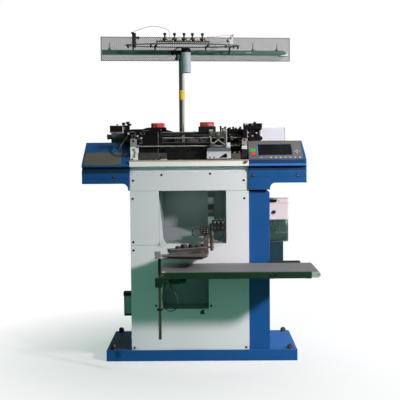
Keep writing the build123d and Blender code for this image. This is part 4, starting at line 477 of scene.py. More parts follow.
def add_block(shape, low, high, place=None):
    """Add a box between two corners, turned and moved by a matrix."""
    corners = []
    for x in (low[0], high[0]):
        for y in (low[1], high[1]):
            for z in (low[2], high[2]):
                point = Vector((x, y, z))
                corners.append(shape.verts.new(place @ point if place else point))
    for face in ((0, 1, 3, 2), (4, 6, 7, 5), (0, 4, 5, 1), (2, 3, 7, 6), (0, 2, 6, 4), (1, 5, 7, 3)):
        shape.faces.new([corners[index] for index in face])


def add_blocks(shape, *blocks):
    """Add boxes, each between two corners."""
    for low, high in blocks:
        add_block(shape, low, high)


def add_plate(shape, outline, front, back, place=None):
    """Add a flat plate: an outline of (x, z) points between two y values."""
    rings = []
    for y in (front, back):
        points = [Vector((x, y, z)) for x, z in outline]
        rings.append([shape.verts.new(place @ point if place else point) for point in points])
    count = len(outline)
    shape.faces.new(rings[0])
    shape.faces.new(rings[1])
    for step in range(count):
        after = (step + 1) % count
        shape.faces.new((rings[0][step], rings[0][after], rings[1][after], rings[1][step]))


def add_hoop(shape, place, axis, radius, thick, sides=24, around=8):
    """Add a ring of round section about an axis."""
    turn = Vector(to_top).rotation_difference(Vector(axis)).to_matrix()
    loops = []
    for step in range(sides):
        angle = 2 * math.pi * step / sides
        loop = []
        for part in range(around):
            bend = 2 * math.pi * part / around
            reach = radius + thick * math.cos(bend)
            point = Vector((reach * math.cos(angle), reach * math.sin(angle), thick * math.sin(bend)))
            loop.append(shape.verts.new(Vector(place) + turn @ point))
        loops.append(loop)
    for step in range(sides):
        first, second = loops[step], loops[(step + 1) % sides]
        for part in range(around):
            after = (part + 1) % around
            shape.faces.new((first[part], first[after], second[after], second[part]))


def piece(name, shape, material, body="machine", bevel=0.0):
    """Turn a shape in millimetres into an object that moves with a body. It is smooth up to 40
    degrees, and a bevel rounds its edges."""
    sharp_angle = math.radians(40.0)
    bmesh.ops.scale(shape, vec=(MM, MM, MM), verts=shape.verts)
    bmesh.ops.recalc_face_normals(shape, faces=shape.faces)
    mesh = bpy.data.meshes.new(name)
    shape.to_mesh(mesh)
    shape.free()
    mesh.shade_smooth()
    mesh.set_sharp_from_angle(angle=sharp_angle)
    made = bpy.data.objects.new(name, mesh)
    bpy.context.scene.collection.objects.link(made)
    mesh.materials.append(material)
    if bevel:
        rounding = made.modifiers.new("rounding", "BEVEL")
        rounding.width = bevel * MM
        rounding.segments = 2
        rounding.limit_method = "ANGLE"
    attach(made, body)
    return made


# Panel screws: black pan heads with a hex socket, which hold the white sheets to the frame.
# Three bright ones on black washers hold the consoles' lower faces.
def screw_profile(radius, height):
    """A pan head with a socket, from its rim to the socket's floor."""
    return [
        (radius, 0.0), (radius, height * 0.45), (radius * 0.8, height * 0.92), (radius * 0.5, height),
        (radius * 0.45, height), (radius * 0.42, height * 0.35), (0.0, height * 0.35)]


def add_screw(shape, place, radius, height):
    """Add a screw head that faces the front."""
    add_turned(shape, place, to_front, screw_profile(radius, height))


screw_black = finish(
    "screw_black", (34, 35, 34), 0.35, metallic=0.6, patches=0.05, specks=0.1, edge=0.0005)
screw_bright = finish(
    "screw_bright", (184, 172, 150), 0.3, metallic=0.85, patches=0.05, specks=0.1, edge=0.0005)
front_face = -280.0
header_screws = [(-406, 1099), (259, 1097), (-235, 1132), (57, 1138)]
panel_screws = [
    (-409, 990), (262, 989), (-409, 728), (-408, 678), (-409, 83), (269, 83), (58, 338), (-275, 340)]
shape = bmesh.new()
for x, z in header_screws + panel_screws:
    add_turned(shape, (x, front_face, z), to_front, [(7.0, 0.0), (7.0, 0.7), (5.2, 0.9)])
    add_screw(shape, (x, front_face - 0.8, z), 5.2, 3.2)
piece("panel_screws", shape, screw_black)
console_face = -292.0
shape = bmesh.new()
for x, z in ((-521, 1124), (315, 1125), (580, 1124)):
    add_screw(shape, (x, console_face, z), 6.5, 4.5)
piece("console_screws", shape, screw_bright)
shape = bmesh.new()
for x, z in ((-521, 1124), (315, 1125), (580, 1124)):
    add_turned(shape, (x, console_face, z), to_front, [(9.5, 0.0), (9.5, 1.0), (6.6, 1.4)])
piece("console_washers", shape, screw_black)

# Cable clip: a small clip folded from sheet steel and painted green, to lay a cable in.
# It is screwed on the front under the service opening.
green_steel = finish("clip_green", (30, 72, 50), 0.4, metallic=0.1, rub_and_highlight=0.6)
shape = bmesh.new()
add_plate(
    shape,
    [(-8, 289), (-8, 303), (2, 308), (4, 315), (16, 315), (17, 308), (10, 304), (18, 296), (18, 289)],
    -283.0, -280.0)
add_block(shape, (-8, -290, 289), (18, -283, 292))
add_screw(shape, (5, -283, 300), 3.4, 2.6)
piece("cable_clip", shape, green_steel, bevel=0.5)

# Left cover plate: a steel plate with a rough grey-brown paint, on the left console's slope.
# Four small black screws hold it.
left_slope = math.atan2(1330.0 - 1190.0, 300.0 - 110.0)
left_place = Matrix.Translation((0, -300, 1190)) @ Matrix.Rotation(left_slope, 4, "X")
left_up = left_place.to_3x3() @ Vector(to_top)
film_grey = finish(
    "film_grey", (90, 83, 73), 0.5, rub_and_highlight_colour=(150, 142, 132), patches=0.12, specks=0.2, speck_scale=420.0,
    rub_and_highlight=0.4, edge=0.002, dust=0.2, grime_and_shade=0.4, bump=0.08)
shape = bmesh.new()
add_block(shape, (-702, 2, 0.1), (-478, 131, 2.4), left_place)
piece("left_cover_plate", shape, film_grey, bevel=0.8)
shape = bmesh.new()
for x in (-694, -486):
    for up in (10, 123):
        spot = left_place @ Vector((x, up, 2.4))
        add_turned(shape, spot, left_up, screw_profile(3.6, 1.8))
piece("cover_plate_screws", shape, screw_black)

# Control panel: a film-covered plate with a dark screen, two push keys and flat film keys.
# It lies sunk in the right console's slope, and a ring and a border stand round the two keys.
dress("control_bezel", finish(
    "bezel_film", (106, 101, 95), 0.45, rub_and_highlight_colour=(140, 134, 126), patches=0.06, specks=0.12,
    speck_scale=300.0, rub_and_highlight=0.2, dust=0.15, grime_and_shade=0.45,
    spots=[
        ((320, -250, 1240), (40, 40, 40), (76, 68, 64), 0.5),
        ((600, -240, 1245), (50, 60, 40), (84, 76, 70), 0.4)]))
screen_glass = finish(
    "screen_glass", (18, 18, 19), 0.2, patches=0.3, patch_scale=12.0, specks=0.16, speck_scale=160.0,
    rub_and_highlight=0.0, dust=0.0, grime_and_shade=0.2, bump=0.0)
dress("screen", screen_glass)
key_green = finish("key_green", (34, 206, 66), 0.35, rub_and_highlight_colour=(130, 230, 140), patches=0.06, dust=0.02)
dress("start_key", key_green)
key_red = finish(
    "key_red", (236, 56, 40), 0.35, rub_and_highlight_colour=(250, 150, 120), patches=0.2, patch_scale=120.0, dust=0.02)
dress("stop_key", key_red)
panel_slope = math.atan2(1333.0 - 1221.0, 278.0 - 95.0)
panel_place = Matrix.Translation((0, -278, 1221)) @ Matrix.Rotation(panel_slope, 4, "X")
panel_up = panel_place.to_3x3() @ Vector(to_top)
shape = bmesh.new()
for low, high in (((346, 41), (558, 45)), ((346, 166), (558, 170)), ((554, 45), (558, 166))):
    add_block(shape, (low[0], low[1], 2.9), (high[0], high[1], 3.9), panel_place)
piece("screen_frame", shape, finish("frame_navy", (30, 76, 136), 0.35, rub_and_highlight=0.3, dust=0.05), bevel=0.3)
# Painted highlight: a light strip down the screen frame's left edge.
shape = bmesh.new()
add_block(shape, (345, 45, 2.9), (350, 166, 4.0), panel_place)
piece("screen_edge_highlight", shape, finish("edge_highlight_sky", (84, 158, 232), 0.35, dust=0.02), bevel=0.3)
film_white = finish(
    "film_white", (232, 230, 224), 0.4, patches=0.08, patch_scale=60.0, specks=0.1, dust=0.05)
shape = bmesh.new()
key_row = [362 + 29 * index for index in range(9)]
coloured_left = key_row[1]
for left in key_row:
    if left != coloured_left:
        add_block(shape, (left - 0.4, 10.6, 3.7), (left + 9.4, 19.4, 4.2), panel_place)
for across, up in ((0, 1), (0, -1), (1, 0), (-1, 0)):
    spot = (583 + 11 * across, 80 + 11 * up)
    add_block(
        shape, (spot[0] - 0.3, spot[1] - 0.3, 3.7), (spot[0] + 7.3, spot[1] + 7.3, 4.2), panel_place)
piece("film_keys_white", shape, film_white, bevel=0.4)
shape = bmesh.new()
add_block(shape, (coloured_left - 0.4, 10.6, 3.7), (coloured_left + 5, 19.4, 4.3), panel_place)
piece("film_key_red", shape, key_red, bevel=0.4)
shape = bmesh.new()
add_block(shape, (coloured_left + 5, 10.6, 3.7), (coloured_left + 9.4, 19.4, 4.3), panel_place)
piece(
    "film_key_amber", shape, finish("key_amber", (232, 190, 60), 0.4, patches=0.08, dust=0.02), bevel=0.4)
shape = bmesh.new()
add_hoop(shape, panel_place @ Vector((320, 56, 3.6)), panel_up, 8.0, 1.6)
for across, up in ((0, 1), (0, -1), (1, 0), (-1, 0)):
    spot = panel_place @ Vector((320 + 8 * across, 56 + 8 * up, 3.4))
    add_turned(shape, spot, panel_up, [(3.2, 0), (3.2, 1.4), (2.4, 2.0), (0, 2.0)])
piece("stop_key_ring", shape, finish("ring_pink", (255, 108, 108), 0.4, dust=0.02), "stop_button")
shape = bmesh.new()
for low, high in (
        ((303, 85), (337, 87)), ((303, 118), (337, 120)), ((303, 87), (305, 118)),
        ((335, 87), (337, 118))):
    add_block(shape, (low[0], low[1], 2.9), (high[0], high[1], 3.3), panel_place)
piece("start_key_border", shape, finish("border_green", (130, 176, 134), 0.45))

# Chart board: a white card in a thin steel holder with two small feet.
# It stands on the right console behind the control panel.
card_white = finish(
    "card_white", (222, 224, 226), 0.6, patches=0.03, patch_scale=30.0, specks=0.05, speck_scale=500.0,
    rub_and_highlight=0.0, dust=0.0, grime_and_shade=0.1,
    zones=[
        ((396, 118, z), (540, 119.3, z + 1.6), (186, 190, 194), 0.0)
        for z in (1348, 1358, 1368, 1378, 1388, 1398)])
shape = bmesh.new()
add_block(shape, (395, 119, 1335), (543, 120.4, 1420))
piece("chart_card", shape, card_white, bevel=0.3)
shape = bmesh.new()
add_blocks(
    shape, ((395, 120.4, 1333), (543, 121.6, 1418)), ((395, 117.4, 1333), (543, 121.6, 1337)),
    ((541.5, 117.6, 1333), (544.5, 121.6, 1421)))
for x in (410, 522):
    add_block(shape, (x, 112, 1333), (x + 12, 126, 1335))
piece(
    "chart_holder", shape, finish("holder_grey", (186, 190, 190), 0.4, metallic=0.4, patches=0.08),
    bevel=0.3)

# Castings and beds: oiled iron castings with raised blocks, bolted on the cabinet's top.
# The ground steel beds on them are cut with tricks, and a steel needle lies in each.
dress("bed_castings", finish(
    "casting_iron", (36, 38, 36), 0.48, metallic=0.2, rub_and_highlight_colour=(124, 120, 112), patches=0.18,
    patch_scale=16.0, specks=0.14, speck_scale=260.0, rub_and_highlight=0.7, dust=0.12, grime_and_shade=0.5,
    zones=[
        ((180, -240, 1213), (246, -221, 1262), (92, 88, 80), 0.2),
        ((-380, -240, 1213), (-200, -221, 1270), (66, 68, 64), 0.2)]))
dress("needle_beds", finish(
    "bed_steel", (40, 40, 37), 0.38, metallic=0.7, patches=0.16, patch_scale=14.0, specks=0.1,
    rub_and_highlight=0.5, edge=0.0006, dust=0.05, grime_and_shade=0.8))
dress("needles", finish(
    "needle_steel", (66, 63, 58), 0.28, metallic=0.9, patches=0.14, patch_scale=60.0, edge=0.0004,
    dust=0.03, grime_and_shade=0.6))
dress("ledge_strip", finish(
    "ledge_metal", (196, 178, 160), 0.42, metallic=0.15, rub_and_highlight_colour=(222, 212, 200), patches=0.14,
    patch_scale=14.0, specks=0.1, rub_and_highlight=0.7, dust=0.15, grime_and_shade=0.5))
steel_bright = finish(
    "steel_bright", (188, 184, 176), 0.28, metallic=0.85, patches=0.12, patch_scale=40.0, specks=0.08,
    rub_and_highlight=0.3, edge=0.0006, dust=0.05, grime_and_shade=0.5)
steel_grey = finish(
    "steel_grey", (112, 112, 108), 0.36, metallic=0.6, patches=0.14, patch_scale=40.0, specks=0.12,
    rub_and_highlight=0.5, edge=0.0006, dust=0.08, grime_and_shade=0.6)
black_part = finish(
    "black_part", (19, 19, 19), 0.42, rub_and_highlight_colour=(104, 102, 96), patches=0.16, patch_scale=30.0, specks=0.16,
    rub_and_highlight=0.6, edge=0.0008, dust=0.08, grime_and_shade=0.3)
white_part = finish(
    "white_part", (224, 222, 216), 0.4, patch_scale=40.0, specks=0.1, edge=0.0008, dust=0.05, grime_and_shade=0.5)
shape = bmesh.new()
add_block(shape, (-243, -250, 1221), (-202, -238, 1227.4))
piece("ledge_pad", shape, finish("pad_beige", (206, 192, 176), 0.45, metallic=0.1), bevel=0.8)
shape = bmesh.new()
for x, z in ((-341.6, 1239), (-241.5, 1254), (203.5, 1239)):
    add_hoop(shape, (x, -237.9, z), (0, 1, 0), 6.2, 0.7)
for x in (-372, -300, -270, 193, 236):
    add_screw(shape, (x, -238, 1222), 3.4, 3.0)
piece("block_hole_rims", shape, steel_bright)
shape = bmesh.new()
add_blocks(shape, ((197, -229, 1256), (241, -214, 1271)), ((201, -231, 1259), (228, -229, 1268)))
piece("latch_coil", shape, black_part, bevel=0.8)
shape = bmesh.new()
add_turned(shape, (236, -229, 1263), to_front, [(5.2, 0), (5.2, 3), (4.2, 4), (2.0, 4), (2.0, 2), (0, 2)])
add_rod(shape, (190, -122, 1313), (250, -122, 1313), 3.0)
piece("latch_coil_tip", shape, steel_bright)
shape = bmesh.new()
add_block(shape, (203, -231.8, 1262), (213, -230.9, 1266))
piece("latch_coil_mark", shape, finish("mark_yellow", (214, 186, 60), 0.4))

# Brass latch: a small lever catch at the ledge's right end, cut from brass plate.
# It turns on a screw and holds the header cover.
brass = finish(
    "brass", (176, 150, 92), 0.35, metallic=0.8, patches=0.16, patch_scale=60.0, edge=0.0006, grime_and_shade=0.6)
shape = bmesh.new()
add_plate(
    shape, [(256, 1199), (260, 1212), (272, 1216), (281, 1212), (281, 1203), (270, 1198)], -305.0, -300.5)
add_block(shape, (262, -300.5, 1203), (276, -280, 1209))
add_screw(shape, (268, -305, 1207), 4.2, 3.0)
piece("brass_latch", shape, brass, bevel=0.8)

# End brackets: cast and machined alloy ends that carry the carriage rail.
# They are bolted on the front casting, one at each end.
dress("end_brackets", finish(
    "bracket_alloy", (244, 244, 242), 0.4, rub_and_highlight_colour=(232, 232, 228), patches=0.14, patch_scale=22.0,
    specks=0.1, rub_and_highlight=0.5, dust=0.05, grime_and_shade=0.7,
    zones=[
        ((-440, -300, 1302), (-370, -100, 1360), (156, 154, 146), 0.1),
        ((240, -300, 1304), (300, -100, 1360), (166, 162, 156), 0.1)],
    spots=[
        ((-398, -238, 1262), (16, 14, 30), (90, 84, 74), 0.6),
        ((-384, -238, 1300), (14, 14, 14), (84, 80, 70), 0.6)]))
shape = bmesh.new()
add_screw(shape, (-379, -238.5, 1299), 4.5, 3.5)
add_screw(shape, (-411, -239, 1228), 4.5, 3.5)
add_hoop(shape, (-406, -238.2, 1337), (0, 1, 0), 6.0, 1.2)
add_hoop(shape, (266, -238.2, 1338), (0, 1, 0), 5.6, 1.0)
add_screw(shape, (262, -238, 1311), 3.4, 2.6)
piece("bracket_fasteners", shape, steel_grey)
shape = bmesh.new()
add_block(shape, (249.6, -242, 1283.5), (281, -238, 1304))
piece("bracket_white_block", shape, white_part, bevel=1.2)

# Rails: a round ground rail for the carriage, flat yarn rails, a rear rail and a top beam, all of steel.
# They are held between the two ends; a sheet cover and a dark duct close the rear.
dress("guide_rails", finish(
    "rail_steel", (96, 98, 92), 0.32, metallic=0.65, patches=0.14, patch_scale=10.0, specks=0.06,
    rub_and_highlight=0.5, edge=0.0012, grime_and_shade=0.5,
    zones=[
        ((-30, -80, 1394.2), (110, 40, 1430), (24, 24, 25), 0.0),
        # Painted highlight and shade: the carriage rail's upper half is painted bright and its lower half
        # dark; the top beam and the front yarn rail get the same bright top over a dark band.
        ((-400, -186, 1303.5), (260, -174, 1309), (208, 200, 188), 0.25),
        ((-400, -186, 1297), (260, -174, 1303.5), (70, 68, 64), 0.3),
        ((-250, -45, 1388.5), (170, 5, 1394.2), (128, 132, 128), 0.2),
        ((-250, -130, 1352.5), (270, -110, 1362), (158, 158, 150), 0.2),
        ((-250, -45, 1375), (170, 5, 1388.5), (28, 30, 29), 0.0),
        ((-250, -130, 1345), (270, -110, 1352.5), (34, 36, 34), 0.2),
        ((-250, 10, 1318), (270, 30, 1324.5), (34, 36, 34), 0.2),
        ((-250, 38, 1288), (270, 54, 1313), (60, 56, 50), 0.2)]))
dress("rear_cover", finish(
    "cover_olive", (50, 53, 47), 0.5, metallic=0.1, rub_and_highlight_colour=(140, 134, 120), patches=0.3, patch_scale=9.0,
    specks=0.12, rub_and_highlight=0.8, edge=0.003, dust=0.15, grime_and_shade=0.4,
    zones=[
        ((-110, 160, 1322), (20, 180, 1352), (84, 86, 86), 0.1),
        ((-110, 160, 1362), (-14, 180, 1377), (96, 96, 94), 0.1)]))
shape = bmesh.new()
add_rod(shape, (240, -180, 1303), (250, -180, 1303), 9.0, 20)
add_block(shape, (-243, -127, 1347), (-234, -113, 1361))
piece("rail_collars", shape, black_part, bevel=0.6)
shape = bmesh.new()
add_blocks(
    shape, ((-163, 30, 1318), (-137, 39.5, 1380)), ((-166, 26, 1338), (-134, 40, 1350)),
    ((8, 28, 1326), (26, 39.5, 1352)))
add_rod(shape, (-5, 33, 1335), (40, 33, 1335), 4.0)
add_turned(shape, (8, 28, 1336), to_front, [(10, 0), (10, 4), (8, 6), (4, 6), (4, 3), (0, 3)])
piece("rear_stops", shape, steel_grey, bevel=0.8)
shape = bmesh.new()
add_block(shape, (-280, 146, 1370), (280, 166, 1393))
for x in (-250, -150, -50, 50, 150, 250):
    add_block(shape, (x, 143, 1374), (x + 8, 146, 1391))
piece(
    "rear_duct", shape,
    finish(
        "duct_dark", (52, 55, 53), 0.5, rub_and_highlight_colour=(120, 118, 110), patches=0.2, patch_scale=14.0, specks=0.1,
        rub_and_highlight=0.6), bevel=0.8)
shape = bmesh.new()
for x in (-200, -120, -40, 40):
    add_turned(shape, (x, -20, 1394), to_top, screw_profile(4.5, 4.0))
for x, high in ((127, 24), (155, 20), (140, 12)):
    add_rod(shape, (x, -10, 1393), (x, -10, 1400 + high), 5.5)
    add_turned(shape, (x, -10, 1398 + high), to_top, [(6, 0), (8, 1.5), (8, 5), (6, 6.5), (0, 6.5)])
piece("top_beam_screws", shape, black_part)

# Left drive housing: black painted castings over the drive belt, bolted on the casting's left end.
# Covers, plugs, ribs, seams and hand screws stand out from them.
housing_black = finish(
    "housing_black", (15, 15, 15), 0.42, rub_and_highlight_colour=(84, 82, 77), patches=0.2, patch_scale=12.0, specks=0.22,
    speck_scale=380.0, rub_and_highlight=0.6, edge=0.0018, grime_and_shade=0.3, bump=0.12)
for paint, level in ((housing_black, 0.22), (black_part, 0.25)):
    paint.node_tree.nodes["Principled BSDF"].inputs["Specular IOR Level"].default_value = level
for node in ("drive_housing", "right_end_frame", "right_actuator", "feeder_1", "feeder_2"):
    dress(node, housing_black)
shape = bmesh.new()
for x, y, z in ((-441, -163.5, 1383), (-385, -163.5, 1367), (-362, -163.5, 1355)):
    add_turned(shape, (x, y, z), to_front, [(6.5, 0), (6.5, 3), (5.2, 4.6), (2.6, 5.0), (2.4, 3), (0, 3)])
piece("housing_white_screws", shape, white_part)
shape = bmesh.new()
for low, high in (
        ((-423, -170, 1356), (-396, -160, 1378)), ((-436, -168, 1388), (-404, -160, 1398)),
        ((-372, -163, 1376), (-340, -160, 1390)), ((-352, -162, 1398), (-318, -160, 1404)),
        ((-415, -172, 1340), (-392, -160, 1352)), ((-376, -168, 1318), (-356, -160, 1344))):
    add_block(shape, low, high)
for x, z in ((-398, 1387), (-378, 1352)):
    add_rod(shape, (x, -172, z), (x, -160, z), 5.0)
piece("left_drive_fittings", shape, steel_grey, bevel=0.9)
shape = bmesh.new()
for low, high in (
        ((-430, -176, 1362), (-420, -160, 1374)), ((-410, -174, 1360), (-402, -170, 1374)),
        ((-376, -174, 1330), (-360, -168, 1340)), ((-470, -164, 1388), (-444, -160, 1396))):
    add_block(shape, low, high)
for x in (-466, -452):
    add_rod(shape, (x, -150, 1393), (x, -150, 1408), 5.0)
for z in (1240, 1262, 1284, 1306, 1328, 1350):
    add_block(shape, (-252, -162, z), (-247, -160, z + 14))
for x in (-322, -300, -278):
    add_block(shape, (x, -162, 1226), (x + 14, -160, 1300))
piece("housing_ribs", shape, black_part, bevel=0.8)
shape = bmesh.new()
add_plate(shape, [(-262, 1243), (-256, 1243), (-256, 1392), (-262, 1392)], -161.5, -160)
add_plate(shape, [(-356, 1396), (-322, 1401), (-322, 1404), (-356, 1399)], -161.5, -160)
piece("housing_seams", shape, steel_grey, bevel=0.4)

# Motor and gearbox: a finned black motor on a grey cast gearbox, flanged together at the far left.
# Two ribbed hand knobs stand on top, and white plates close the ends.
dress("drive_motor", finish(
    "motor_black", (16, 16, 16), 0.4, rub_and_highlight_colour=(96, 94, 88), patches=0.16, patch_scale=20.0, specks=0.16,
    rub_and_highlight=0.7, edge=0.0012, grime_and_shade=0.3))
dress("gearbox", finish(
    "gearbox_grey", (86, 92, 98), 0.42, metallic=0.15, patches=0.16, patch_scale=14.0, specks=0.16,
    speck_scale=300.0, rub_and_highlight=0.6, dust=0.15, grime_and_shade=0.6, bump=0.12,
    zones=[
        ((-600, -60, 1320), (-440, 60, 1358), (40, 52, 48), 0.1),
        ((-600, -60, 1358), (-560, 60, 1390), (104, 112, 110), 0.15)]))
shape = bmesh.new()
add_block(shape, (-558, -42, 1390.5), (-487, -36, 1396))
piece(
    "motor_base_plate", shape,
    finish("plate_rose", (150, 132, 134), 0.4, metallic=0.3, patches=0.14, rub_and_highlight=0.5), bevel=0.5)
shape = bmesh.new()
add_blocks(
    shape, ((-489, -40, 1396), (-484, 20, 1430)), ((-481, -38, 1402), (-478, 10, 1424)),
    ((-474, -41.5, 1355), (-468, -38, 1379)))
piece("motor_end_plates", shape, white_part, bevel=0.6)
shape = bmesh.new()
for x, z in ((-551, 1366), (-530, 1380), (-498, 1366), (-480, 1340), (-540, 1340)):
    add_screw(shape, (x, -40, z), 3.6, 2.8)
add_turned(shape, (-586, 0, 1369), (-1, 0, 0), [(12, 0), (12, 3), (8, 4), (0, 4)])
add_rod(shape, (-524, 0, 1438), (-524, 0, 1446), 6.0)
piece("gearbox_screws", shape, steel_grey)
shape = bmesh.new()
for z in (1402, 1408, 1414, 1420, 1426):
    add_block(shape, (-566, -36.5, z), (-492, -33, z + 2.2))
add_blocks(
    shape, ((-491, -16, 1398), (-446, 12, 1438)), ((-470, -40, 1386), (-425, 10, 1410)),
    ((-452, -4, 1436), (-436, 14, 1448)))
add_rod(shape, (-460, 6, 1442), (-444, 6, 1442), 4.5)
for x, y, z in ((-483, -8, 1446), (-458, 6, 1452)):
    add_hoop(shape, (x, y, z + 3), to_top, 11.0, 1.4)
    add_hoop(shape, (x, y, z + 8), to_top, 11.0, 1.4)
piece("motor_fins", shape, black_part, bevel=0.4)

# Red caps: two covers moulded in red plastic over the yarn cutters.
# They are clipped on black bases on the top beam.
dress("red_caps", finish(
    "cap_red", (238, 78, 84), 0.32, rub_and_highlight_colour=(250, 170, 160), patches=0.2, patch_scale=30.0, specks=0.1,
    rub_and_highlight=0.35, edge=0.003, dust=0.08, grime_and_shade=0.5, coat=0.15,
    zones=[
        ((-320, -80, 1400), (-297, 80, 1460), (24, 20, 20), 0.0),
        # Painted shade: the left half of each cap is painted a dark orange.
        ((-297, -80, 1400), (-268, 80, 1460), (150, 62, 42), 0.0),
        ((-8, -80, 1400), (44, 80, 1460), (150, 62, 42), 0.0)]))
shape = bmesh.new()
for x in (58, 70):
    add_turned(shape, (x, -58.6, 1435), to_front, [(4.2, 0), (4.2, 1.2), (3.0, 1.8), (0, 1.8)])
piece("cap_clips", shape, white_part)

# Right end frame and selectors: the steel pins, plungers and coils that pick the yarn feeders.
# They are screwed on the top beam and on the black cast end frame, whose block is ribbed.
shape = bmesh.new()
for x, high in ((185, 8), (205, 12), (222, 6), (250, 12)):
    add_rod(shape, (x, -20, 1410), (x, -20, 1410 + high), 6.0)
    add_turned(shape, (x, -20, 1408 + high), to_top, [(7, 0), (8, 1.5), (7, 4), (0, 4.5)])
for index in range(7):
    x = 172 + 12 * index
    add_block(shape, (x, -58, 1322 + 5 * (index % 3)), (x + 7, -42, 1352))
for index in range(4):
    x = 175 + 23 * index
    add_block(shape, (x, -48, 1392), (x + 15, -40, 1408))
piece("selector_plungers", shape, black_part, bevel=0.8)
shape = bmesh.new()
for index in range(7):
    x = 173 + 12 * index
    add_rod(shape, (x + 3, -50, 1306 + 6 * (index % 2)), (x + 3, -50, 1324), 2.0)
add_block(shape, (206, -52, 1372), (240, -47, 1376))
add_rod(shape, (176, -44, 1366), (262, -44, 1366), 3.0)
for x in (182, 214, 246):
    add_screw(shape, (x, -41, 1399), 3.6, 3.0)
add_block(shape, (262, -60, 1371), (280, -44, 1383))
piece("selector_pins", shape, steel_grey, bevel=0.5)
teal_part = finish(
    "teal_part", (70, 104, 102), 0.4, patches=0.14, patch_scale=40.0, rub_and_highlight=0.6, dust=0.05)
shape = bmesh.new()
add_blocks(
    shape, ((178, -56, 1366), (190, -44, 1378)), ((226, -54, 1340), (240, -44, 1352)),
    ((200, -56, 1352), (214, -46, 1362)))
piece("selector_coils", shape, teal_part, bevel=0.8)
shape = bmesh.new()
for index in range(6):
    z = 1230.0 + 8.0 * index
    add_block(shape, (251, -238.8, z + 3.5), (283, -236, z + 8.0))
piece(
    "bracket_block_ribs", shape,
    finish("rib_dark", (44, 46, 44), 0.42, rub_and_highlight_colour=(110, 108, 100), patches=0.14, rub_and_highlight=0.7, dust=0.05),
    bevel=0.4)

# Right actuator: an air-driven head in a black case, on a stand at the head's right end.
# White push-in fittings, a bright cylinder and a steel end plate are screwed to it.
shape = bmesh.new()
for x in (281.7, 295.0):
    add_turned(
        shape, (x, -30, 1438.5), to_front, [(5.6, 0), (5.6, 4), (4.6, 5), (2.6, 5), (2.6, 2), (0, 2)])
for x, y, z in ((296, -26, 1386), (294, -26, 1360), (325, -26, 1366), (350, -26, 1384)):
    add_turned(shape, (x, y, z), to_front, [(5.0, 0), (5.0, 5), (4.0, 6), (2.0, 6), (2.0, 3), (0, 3)])
piece("actuator_fittings", shape, white_part)
shape = bmesh.new()
add_turned(
    shape, (373, -4, 1362), to_top,
    [(0, 0), (8.5, 0), (8.5, 3), (7, 4), (7, 34), (8.5, 35), (8.5, 40), (0, 40)])
add_rod(shape, (342, 0, 1452), (342, 0, 1456), 3.0)
add_block(shape, (318, -32, 1431), (330, -29.5, 1438))
piece("actuator_cylinder", shape, steel_bright, bevel=0.4)
shape = bmesh.new()
add_turned(shape, (342, 0, 1444), to_top, [(8, 0), (9, 2), (9, 7), (7, 9), (0, 9)])
add_blocks(
    shape, ((306, -34, 1408), (362, -29.6, 1418)), ((306, -33, 1421), (352, -29.6, 1428)),
    ((366, -20, 1338), (388, 20, 1362)), ((300, -28, 1345), (318, -22, 1400)),
    ((372, -34, 1406), (384, -29.5, 1444)))
piece("actuator_covers", shape, black_part, bevel=0.8)
shape = bmesh.new()
add_block(shape, (384, -28, 1408), (386.5, 30, 1442))
for z in (1412, 1436):
    add_screw(shape, (378, -34, z), 3.0, 2.4)
piece("actuator_end_plate", shape, steel_grey, bevel=0.4)

# Carriage: a grey cast bridge that slides on the round rail, with a bright cam plate before it.
# Its edges and rims are painted bright, as bare machined metal and as painted highlights.
dress("carriage_bridge", finish(
    "bridge_grey", (70, 77, 75), 0.42, metallic=0.2, rub_and_highlight_colour=(190, 188, 180), patches=0.14,
    patch_scale=16.0, specks=0.14, speck_scale=300.0, rub_and_highlight=1.0, edge=0.002, dust=0.05, grime_and_shade=0.6,
    bump=0.12, zones=[((50, -215, 1345), (165, -195, 1410), (74, 71, 66), 0.2)]))
dress("cam_plate", finish(
    "cam_alloy", (206, 211, 216), 0.42, metallic=0.15, patches=0.08, patch_scale=50.0, specks=0.12,
    speck_scale=240.0, rub_and_highlight=0.5, dust=0.03, grime_and_shade=0.5,
    zones=[
        ((30, -260, 1272.5), (190, -190, 1292.5), (96, 103, 107), 0.15),
        ((161.5, -213, 1291.5), (190, -190, 1330), (234, 236, 236), 0.0)]))
# Painted highlights along the bridge's edges and window, on bare metal rims.
rim_highlight = finish(
    "rim_highlight", (202, 198, 188), 0.35, metallic=0.35, patches=0.16, patch_scale=40.0, specks=0.14,
    rub_and_highlight=0.4, edge=0.0006, dust=0.03, grime_and_shade=0.5)
shape = bmesh.new()
add_plate(shape, [(54, 1393), (79, 1393), (76, 1403.5), (55, 1403.5)], -213.2, -212)
add_plate(shape, [(137, 1393), (161.5, 1393), (161, 1403.5), (139, 1403.5)], -213.2, -212)
add_plate(
    shape, [(61.3, 1325), (66, 1325), (66, 1353), (62, 1361), (53.6, 1364), (53.6, 1361), (61, 1356)],
    -213.2, -212)
add_plate(shape, [(155.5, 1292.5), (161.5, 1292.5), (161.5, 1393), (157, 1393)], -213.2, -212)
add_plate(
    shape,
    [
        (64, 1325.5), (64, 1320), (85, 1320), (107.5, 1338), (148, 1311), (150, 1314), (108, 1344),
        (84, 1325.5)], -213.4, -212)
add_plate(shape, [(82, 1302.5), (132, 1302.5), (132, 1306), (82, 1306)], -213.2, -212)
piece("bridge_rim_highlights", shape, rim_highlight, "carriage", bevel=0.3)
shape = bmesh.new()
add_turned(
    shape, (107, -212, 1372), to_front, [(13, 0), (13, 2.5), (11, 4), (5, 4), (5, 1.5), (0, 1.5)], 28)
add_turned(shape, (64, -212, 1382), to_front, [(7, 0), (7, 1.6), (5, 2.4), (2.6, 2.4), (2.4, 1), (0, 1)])
add_turned(
    shape, (150, -212, 1381), to_front, [(6, 0), (6, 1.6), (4.4, 2.4), (2.4, 2.4), (2.2, 1), (0, 1)])
